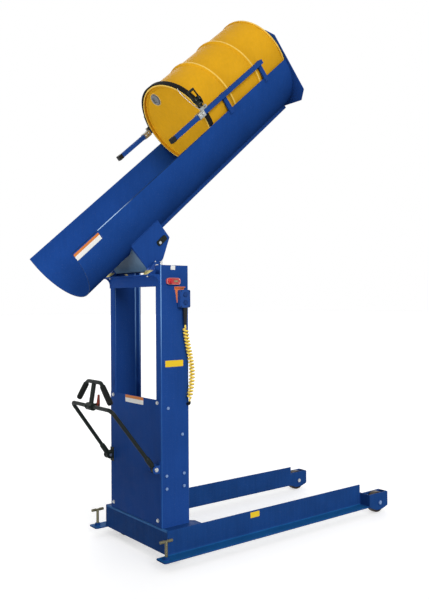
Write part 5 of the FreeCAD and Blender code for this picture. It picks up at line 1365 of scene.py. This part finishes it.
@dataclass
class BaseTrim:
    """Fasteners of the wheels, casters, handle and power unit, and the grips on the jacks' bars."""

    fork_faces: Span = (465.0, 385.0)
    axle_washer: Stud = Stud(19.0, 2.5)
    clevis: Spot = (-34.0, 300.0, 563.0)
    clevis_washer: Stud = Stud(13.0, 2.0)
    caster_x: Span = (42.0, 98.0)
    caster_y: Span = (262.0, 318.0)
    deck_top: float = 104.0
    deck_bolt: Bolt = Bolt(10.0, 4.5, 8.0)
    caster_plate_foot: float = 90.0
    caster_bolt: Bolt = Bolt(10.0, 5.0, 8.0)
    motor_end: float = -270.0
    motor_bolts: tuple[Span, ...] = ((32.0, 176.0), (72.0, 176.0), (32.0, 136.0), (72.0, 136.0))
    motor_bolt: Bolt = Bolt(8.0, 4.0, 6.0)
    block_face: float = 92.0
    block_plugs: tuple[Span, ...] = ((-76.0, 126.0), (-104.0, 126.0), (-76.0, 170.0))
    block_plug: Bolt = Bolt(14.0, 7.0, 9.5)
    valve_spot: Span = (-104.0, 170.0)
    valve: Stud = Stud(11.0, 22.0, sides=20, break_edge=2.0)
    terminals: tuple[Spot, ...] = ((40.0, -196.0, 194.0), (64.0, -196.0, 194.0))
    terminal: Bolt = Bolt(8.0, 9.0, 7.0)
    battery_top: float = 284.0
    cells: int = 6
    first_cell: Span = (30.0, 76.0)
    cell_pitch: float = 30.0
    cell_cap: Stud = Stud(9.0, 5.0, sides=20, break_edge=1.5)
    posts: tuple[Span, ...] = ((52.0, 100.0), (52.0, 202.0))
    post_cover: Stud = Stud(14.0, 7.0, sides=4, break_edge=1.5)
    filler: Spot = (52.0, -2.0, 288.0)
    filler_cap: Stud = Stud(14.0, 7.0, sides=36, tooth=0.12)
    jack_bar: float = 168.0
    jack_hub: float = 11.0
    jack_grip: Stud = Stud(9.5, 33.0, sides=20, break_edge=2.5)
    hub_bolts: tuple[Spot, ...] = ((-335.5, -24.0, 938.0), (-335.5, 24.0, 938.0))
    hub_bolt: Bolt = Bolt(10.0, 5.0, 8.0)

    def fasteners(self) -> None:
        """Make the bolts and washers of the base and the power unit."""
        bright = Fittings("base_fasteners", Body.FRAME, ZINC)
        painted = Fittings("axle_washers", Body.FRAME, BLUE)
        for side in SIDES:
            for y, way in zip(self.fork_faces, (-side, side)):
                painted.stud(row(LOAD_AXLE[0], side * y, LOAD_AXLE[1]), NEAR * way, self.axle_washer)
            x, y, z = self.clevis
            bright.stud(row(x, side * y, z), NEAR * -side, self.clevis_washer)
            for x in self.caster_x:
                for y in self.caster_y:
                    bright.bolt(row(x, side * y, self.deck_top), UP, self.deck_bolt)
                    bright.bolt(row(x, side * y, self.caster_plate_foot), -UP, self.caster_bolt)
        for x, z in self.motor_bolts:
            bright.bolt(row(x, self.motor_end, z), NEAR, self.motor_bolt)
        for y, z in self.block_plugs:
            bright.bolt(row(self.block_face, y, z), -AHEAD, self.block_plug)
        bright.stud(row(self.block_face, *self.valve_spot), -AHEAD, self.valve)
        for spot in self.terminals:
            bright.bolt(row(*spot), UP, self.terminal)
        bright.build()
        painted.build()

    def mouldings(self) -> None:
        """Make the battery's caps and post covers and the tank's filler cap."""
        dark = Fittings("power_unit_mouldings", Body.FRAME, PLASTIC)
        x, y = self.first_cell
        for k in range(self.cells):
            dark.stud(row(x, y + self.cell_pitch * k, self.battery_top), UP, self.cell_cap)
        for post in self.posts:
            dark.stud(row(*post, self.battery_top), UP, self.post_cover)
        dark.stud(row(*self.filler), UP, self.filler_cap)
        dark.build()

    def build(self) -> None:
        """Make the fasteners and mouldings, then the jacks' grips, then the bolts of the handle's hub."""
        self.fasteners()
        self.mouldings()
        x, y = FAR_JACK
        for name, body, side in (("jack_grips_near", Body.JACK_NEAR, NEAR_SIDE),
                                 ("jack_grips_far", Body.JACK_FAR, FAR_SIDE)):
            grips = Fittings(name, body, OILED)
            for way in (AHEAD, -AHEAD):
                grips.stud(row(x, side * y, self.jack_bar) + way * (self.jack_hub / MM_PER_M), way, self.jack_grip)
            grips.build()
        clamp = Fittings("hub_bolts", Body.HANDLE, BLACK)
        for spot in self.hub_bolts:
            clamp.bolt(row(*spot), AHEAD, self.hub_bolt)
        clamp.build()


@dataclass
class HoseEnds:
    """Crimped sleeves and nuts on the pressure hose."""

    hose: PressureHose
    nut: Stud = Stud(11.0, 9.0, sides=6, break_edge=1.0)
    crimp: Stud = Stud(9.2, 16.0, sides=20, break_edge=1.0, tooth=0.06)

    def build(self) -> None:
        """Make the fittings at the pump block and at the cylinder's port."""
        ends = Fittings("hose_fittings", Body.FRAME, ZINC)
        for spot, out in ((row(*self.hose.points[0]), UP), (row(*self.hose.points[-1]), NEAR)):
            ends.stud(spot, out, self.nut)
            ends.stud(spot + out * (self.nut.height / MM_PER_M), out, self.crimp)
        ends.build()


@dataclass
class ChuteTrim:
    """Rim beads, clamp bolts, ratchet wheels, links and wire on the chute, and rings stamped round the plugs."""

    place: ChutePlace
    rail_middle: float = 316.0
    rail_h: float = 534.0
    sleeve: float = 20.05
    clamp_bolts: Span = (831.0, 859.0)
    clamp_bolt: Bolt = Bolt(13.0, 6.0, 9.5)
    lug: Spot = (906.0, 322.0, 560.0)
    lug_bolt: Bolt = Bolt(10.0, 5.0, 8.0)
    ratchet_angle: float = 19.5
    spindle: float = 310.6
    wheels: Span = (887.0, 922.0)
    wheel: Stud = Stud(13.0, 3.0, break_edge=0.3, tooth=0.2)
    # Wire links: their two ends on the lugs, then the upper bar's two ends and its middle, which stands out more.
    link_s: Span = (900.0, 912.0)
    link_y: float = 324.5
    link_h: float = 561.0
    bar_s: Span = (882.0, 930.0)
    bar_radius: float = 300.5
    bar_off: float = 3.0
    bar_bow: Span = (4.0, 3.0)
    # How high the near and the far link reach above their lugs.
    link_reach: Span = (26.0, 88.0)
    link_wire: float = 2.6
    # The near clamp's wire: distance along the trough, angle above the drum's near side, distance from its axis.
    wire: tuple[Spot, ...] = (
        (879.0, 8.0, 310.0), (879.0, 12.0, 293.0), (878.0, 18.0, 281.0), (878.0, 26.0, 276.0), (878.0, 34.0, 277.0),
        (879.0, 40.0, 284.0), (881.0, 44.0, 293.0), (888.0, 47.0, 299.0))
    wire_radius: float = 1.8
    rim_y: float = 287.5
    rim_h: float = 426.5
    rim_s: Span = (-406.0, 1763.0)
    bead: float = 2.8
    skin: float = 3.0
    # Where the painted highlight runs along the near rim; from its end to the drum runs a painted shadow line.
    highlight_s: Span = (-198.0, 235.0)
    drum_s: float = 874.0
    # Plugs in the drum's head: place across it, place up it and radius.
    plugs: tuple[Spot, ...] = ((76.0, 203.0, 35.0), (-100.0, -190.0, 18.0))
    head_s: float = 903.0
    ring_gap: float = 9.0
    ring_bead: float = 3.0

    def link(self, side: float, reach: float) -> list[Vector]:
        """Return a wire link from a clamp's lug up round the strap and back.

        Args:
            side: Minus one on the near side, one on the far side.
            reach: Height of its upper bar above the lug, in millimetres.

        Returns:
            The link's closed path.
        """
        high = self.link_h + reach
        out = math.sqrt(self.bar_radius ** 2 - (high - self.place.drum_axis) ** 2)
        foot, back = ((s, self.link_y, self.link_h) for s in self.link_s)
        start, end = ((s, out + self.bar_off, high) for s in self.bar_s)
        middle = (sum(self.bar_s) / 2, out + self.bar_bow[0], high + self.bar_bow[1])
        return [self.place.point(s, side * y, h) for s, y, h in (foot, start, middle, end, back, foot)]

    def rims(self) -> None:
        """Round the chute's two rims with a bead, and skin the near one below the drum with a painted highlight and
        painted shade.
        """
        (start, end), (highlight_start, highlight_end) = self.rim_s, self.highlight_s
        for name, finish, radius, side, span in (
                ("rim_bead_near", BLUE, self.bead, NEAR_SIDE, (start, end)),
                ("rim_bead_far", BLUE, self.bead, FAR_SIDE, (start, end)),
                ("rim_highlight", BLUE_RIM_HIGHLIGHT, self.skin, NEAR_SIDE, (highlight_start, highlight_end)),
                ("rim_shadow_line", BLUE_SHADE_LINE, self.skin, NEAR_SIDE, (highlight_end, self.drum_s)),
                ("rim_shaded", BLUE_SHADE_LINE, self.skin, NEAR_SIDE, (start, highlight_start))):
            path = [self.place.point(s, side * self.rim_y, self.rim_h) for s in (span[0], sum(span) / 2, span[1])]
            Tubes(name, Body.CHUTE, finish, radius, [path], fineness=2).build()

    def plug_rings(self) -> None:
        """Stamp a ring round each plug in the drum's head."""
        up = self.place.direction(0, 0, 1)
        rings = [ring(self.place.point(self.head_s, y, self.place.drum_axis + h), FAR, up, radius + self.ring_gap)
                 for y, h, radius in self.plugs]
        # The stamped rings are paler: wear and a painted highlight on their crests.
        Tubes("plug_rings", Body.CHUTE, YELLOW_WEAR_AND_HIGHLIGHT, self.ring_bead, rings, fineness=2).build()

    def clamps(self) -> None:
        """Make the bolts of the clamps and the far lug's bolt."""
        bright = Fittings("clamp_bolts", Body.CHUTE, ZINC)
        for side in SIDES:
            away = Vector((0.0, side, 0.0))
            for s in self.clamp_bolts:
                for out, way in ((self.sleeve, away), (-self.sleeve, -away)):
                    spot = self.place.point(s, side * (self.rail_middle + out), self.rail_h)
                    bright.bolt(spot, way, self.clamp_bolt)
        # Only the far lug carries a bolt head, because the ratchet's handle folds down past the near one.
        bright.bolt(self.place.point(*self.lug), FAR, self.lug_bolt)
        bright.build()

    def build(self) -> None:
        """Make the trim."""
        self.rims()
        self.plug_rings()
        self.clamps()
        teeth = Fittings("ratchet_wheels", Body.CHUTE, ZINC)
        for s in self.wheels:
            spot = self.place.round_drum(s, self.ratchet_angle, self.spindle)
            teeth.stud(spot, self.place.direction(1, 0, 0), self.wheel)
        teeth.build()
        links = [self.link(side, reach) for side, reach in zip(SIDES, self.link_reach)]
        Tubes("strap_links", Body.CHUTE, OILED, self.link_wire, links, fineness=2).build()
        wire = [self.place.round_drum(*spot) for spot in self.wire]
        Tubes("clamp_wire", Body.CHUTE, ZINC, self.wire_radius, [wire], fineness=2).build()


@dataclass
class Dressing:
    """Finishes of the solid parts, whole nodes first and then the nodes whose faces differ.

    A part of a face's normal along a direction says how it looks that way, and the sizes say where a finish ends.
    """

    place: ChutePlace
    square: float = 0.9
    slanting: float = 0.3
    upright: float = 0.1
    hoop_slant: float = 0.4
    bent: float = 0.2
    level: float = 0.7
    brace_half: float = 190.0
    chime_s: float = 894.0
    hoop_radius: float = 291.5
    axle_head: float = 465.5
    housing_half: float = 34.0
    web_bolts: float = 290.0
    pin_keeper: float = -213.2
    battery_lid: float = 284.2
    tank_lid: float = 274.2
    leg_lip: float = 372.0
    thread: Span = (63.0, 160.0)
    axle_boss: float = 20.0
    caster: Span = (95.0, 38.0)
    caster_hub: float = 28.0

    def by_face(self, name: str, finishes: tuple[Finish, ...], choose: Callable[[Vector, Vector], int]) -> None:
        """Give the faces of one node different finishes.

        Args:
            name: The node.
            finishes: Its finishes.
            choose: Picks a finish's index from a face's middle, in machine millimetres, and its normal.
        """
        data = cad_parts[name].data
        data.materials.clear()
        for finish in finishes:
            data.materials.append(finish.material())
        for face in data.polygons:
            middle = face.center * MM_PER_M + Vector((MACHINE_MIDDLE, 0.0, 0.0))
            face.material_index = choose(middle, face.normal)
        LOG.info("node %s in %s", name, ", ".join(finish.name for finish in finishes))

    def in_chute(self, middle: Vector) -> Vector:
        """Return the chute's own s, y and h of a face's middle."""
        return self.place.inside(row(*middle))

    def worn_and_lit(self, middle: Vector, normal: Vector) -> int:
        """Tell whether a face of the drum is paler, partly rubbed by handling and partly a painted highlight.

        Args:
            middle: The face's middle in machine millimetres.
            normal: Its normal.

        Returns:
            One on the chime round the head and on the outsides of the hoops and chimes, and zero elsewhere.
        """
        spot = self.in_chute(middle)
        hoop = math.hypot(spot.y, spot.z - self.place.drum_axis) > self.hoop_radius
        outward = abs(normal.dot(self.place.direction(1, 0, 0))) < self.hoop_slant
        return int(spot.x < self.chime_s or hoop and outward)

    @staticmethod
    def from_wheel(middle: Vector, axle: Span) -> float:
        """Return how far a face's middle is from an axle at x and z."""
        return math.hypot(middle.x - axle[0], middle.z - axle[1])

    def build(self) -> None:
        """Give every solid node its finish."""
        for finish, names in NODE_FINISHES.items():
            for name in names:
                self.by_face(name, (finish,), lambda m, n: 0)
        # The mast's rounded edges and bends, whose normals slant, take the painted highlight.
        for name in ("mast_channel_near", "mast_channel_far"):
            self.by_face(name, (BLUE, BLUE_EDGE_HIGHLIGHT), lambda m, n: int(
                min(abs(n.x), abs(n.y)) > self.slanting and abs(n.z) < self.upright))
        along = self.place.direction(1, 0, 0)
        # The trough's end faces at the mouth take painted shade.
        self.by_face("chute_trough", (BLUE_SHEET, BLUE_SHADE_LINE), lambda m, n: int(n.dot(along) < -self.square))
        self.by_face("handle_clevises", (BLUE, BLACK), lambda m, n: int(m.y > 0.0))
        self.by_face("chute_ears", (BLUE, BLUE_GREYED), lambda m, n: int(
            n.dot(along) < -self.square and abs(m.y) < self.brace_half))
        # Hoops and chimes: wear and a painted highlight.
        self.by_face("drum_shell", (YELLOW, YELLOW_WEAR_AND_HIGHLIGHT), self.worn_and_lit)
        # The beam takes the low parts' painted shade, and its bend, which faces ahead and up, takes a painted
        # highlight.
        self.by_face("base_beam", (BLUE_LOW_SHADED, BLUE_BEND_HIGHLIGHT), lambda m, n: int(n.x < -self.bent and n.z > self.bent))
        # The axles' heads are paler blue: thin enamel and a painted highlight.
        self.by_face("wheel_axles", (ZINC, BLUE_BOLT_WORN_AND_LIT), lambda m, n: int(abs(m.y) > self.axle_head))
        self.by_face("bearing_blocks", (STRAW_ZINC, BLUE), lambda m, n: int(
            abs(m.x - self.place.pivot_x) < self.housing_half))
        # Bolt heads on the mast's webs are paler blue: thin enamel and a painted highlight.
        self.by_face("frame_bolts", (ZINC, BLUE_BOLT_WORN_AND_LIT), lambda m, n: int(abs(m.y) > self.web_bolts))
        self.by_face("rod_pin", (BLACK, ZINC), lambda m, n: int(m.y < self.pin_keeper))
        self.by_face("battery", (PLASTIC, GROUND), lambda m, n: int(m.z > self.battery_lid))
        self.by_face("hydraulic_tank", (POLYTHENE, PLASTIC), lambda m, n: int(m.z > self.tank_lid))
        for side in ("near", "far"):
            # Legs in the low parts' painted shade, with painted light on the top faces of their lips.
            self.by_face("leg_" + side, (BLUE_LOW_SHADED, BLUE_LIP_LIT), lambda m, n: int(
                n.z > self.level and abs(m.y) > self.leg_lip))
            self.by_face("jack_screw_" + side, (OILED, THREADED), lambda m, n: int(
                self.thread[0] < m.z < self.thread[1]))
            self.by_face("load_wheel_" + side, (PHENOLIC, ZINC), lambda m, n: int(
                self.from_wheel(m, LOAD_AXLE) < self.axle_boss))
            self.by_face("caster_wheel_" + side, (RUBBER, GREY), lambda m, n: int(
                self.from_wheel(m, self.caster) < self.caster_hub))


class LampKind(Enum):
    """Kinds of lamp in the studio."""

    SUN = "SUN"
    SHEET = "AREA"


@dataclass(frozen=True)
class Lamp:
    """A lamp: its strength, the spread of its light in degrees, its place, the way it looks and a sheet's side."""

    name: str
    kind: LampKind
    energy: float
    spread: float
    place: Spot
    towards: Spot
    size: float = 1000.0

    def hang(self) -> None:
        """Put the lamp in the scene."""
        data = bpy.data.lights.new(self.name, self.kind.value)
        data.energy = self.energy
        if self.kind is LampKind.SUN:
            data.angle = math.radians(self.spread)
        else:
            data.spread = math.radians(self.spread)
            data.size = self.size / MM_PER_M
        put(self.name, data).matrix_world = facing(row(*self.place), Vector(self.towards), "-Z")


@dataclass
class Studio:
    """White floor, soft light and the photograph's camera."""

    lens_px: float = 705.5
    image_height: float = 600.0
    sensor: float = 36.0
    yaw: float = 37.89
    pitch: float = 0.334
    roll: float = -0.357
    place: Spot = (-2356.7, -3860.8, 1556.0)
    sight: float = 200000.0
    floor_half: float = 90000.0
    floor_drop: float = 1.0
    floor_lit: str = "8A8A8A"
    floor_seen: str = "DCDCDC"
    floor_roughness: float = 0.8
    floor_glow: float = 0.5
    white: str = "FFFFFF"
    sky: float = 0.5
    lamps: tuple[Lamp, ...] = (
        Lamp("key", LampKind.SUN, energy=1.85, spread=30.0, place=(0.0, 0.0, 4000.0), towards=(0.18, 1.0, -0.42)),
        Lamp("back_fill", LampKind.SUN, energy=0.9, spread=60.0, place=(0.0, 0.0, 3000.0),
             towards=(-0.6, -0.75, -0.3)),
        Lamp("low", LampKind.SHEET, energy=14.0, spread=56.0, place=(-3300.0, -700.0, 300.0),
             towards=(3641.0, 700.0, 2454.0), size=1200.0))

    def camera(self) -> None:
        """Set the camera at the photograph's viewing place."""
        data = bpy.data.cameras.new("photo_camera")
        data.sensor_fit = "VERTICAL"
        data.sensor_height = self.sensor
        data.lens = self.lens_px / self.image_height * self.sensor
        data.clip_end = self.sight / MM_PER_M
        made = put("photo_camera", data)
        yaw, pitch = math.radians(self.yaw), math.radians(self.pitch)
        ahead = Vector((math.sin(yaw) * math.cos(pitch), math.cos(yaw) * math.cos(pitch), math.sin(pitch)))
        roll = Matrix.Rotation(math.radians(self.roll), 4, "Z")
        made.matrix_world = facing(row(*self.place), ahead, "-Z") @ roll
        bpy.context.scene.camera = made

    def seen(self, tree: bpy.types.NodeTree) -> bpy.types.NodeSocket:
        """Tell the rays that see the background directly, in a mirror or through glass from the others.

        Args:
            tree: Nodes of the floor's material or of the world.

        Returns:
            A socket that gives one for those rays and zero for the others.
        """
        rays = add_node(tree, "ShaderNodeLightPath")
        share = rays.outputs["Is Camera Ray"]
        for more in ("Is Glossy Ray", "Is Transmission Ray"):
            share = add_node(tree, "ShaderNodeMath", {0: share, 1: rays.outputs[more]},
                             operation="MAXIMUM").outputs["Value"]
        return share

    def floor(self) -> None:
        """Lay a white floor that keeps the machine's shadow."""
        mesh = bmesh.new()
        bmesh.ops.create_grid(mesh, x_segments=1, y_segments=1, size=self.floor_half / MM_PER_M)
        data = bpy.data.meshes.new("floor")
        mesh.to_mesh(data)
        mesh.free()
        made = bpy.data.materials.new("white_studio_floor")
        made.use_nodes = True
        tree = made.node_tree
        seen = self.seen(tree)
        paper = add_node(tree, "ShaderNodeMix", {
            "Factor": seen, MIX_FIRST: linear(self.floor_lit), MIX_SECOND: linear(self.floor_seen)}, data_type="RGBA")
        glow = add_node(tree, "ShaderNodeMath", {0: seen, 1: self.floor_glow}, operation="MULTIPLY")
        feed(tree, tree.nodes["Principled BSDF"], {
            "Base Color": paper.outputs[MIX_RESULT], "Roughness": self.floor_roughness,
            "Emission Color": linear(self.white), "Emission Strength": glow.outputs["Value"]})
        data.materials.append(made)
        floor = put("floor", data)
        floor.location.z = -self.floor_drop / MM_PER_M

    def light(self) -> None:
        """Set the pale sky and the soft lamps."""
        world = bpy.data.worlds.new("studio")
        bpy.context.scene.world = world
        world.use_nodes = True
        tree = world.node_tree
        strength = add_node(tree, "ShaderNodeMapRange", {"Value": self.seen(tree), "To Min": self.sky, "To Max": 1.0})
        feed(tree, tree.nodes["Background"], {"Color": linear(self.white), "Strength": strength.outputs["Result"]})
        for lamp in self.lamps:
            lamp.hang()

    def build(self) -> None:
        """Set up the whole studio."""
        self.camera()
        self.floor()
        self.light()
        bpy.context.scene.view_settings.view_transform = "Standard"


def main() -> None:
    """Dress the machine, add its soft pieces, plates and trim, and set the studio."""
    logging.basicConfig(level=logging.INFO)
    place = ChutePlace()
    hose = PressureHose()
    for part in (Studio(), PendantCord(), hose, Dressing(place), DrumStrap(place), FoamGrips(), BlankPlates(),
                 MouthPlate(place), Welds(place), MastTrim(), BaseTrim(), HoseEnds(hose), ChuteTrim(place)):
        part.build()


if __name__ == "__main__":
    main()
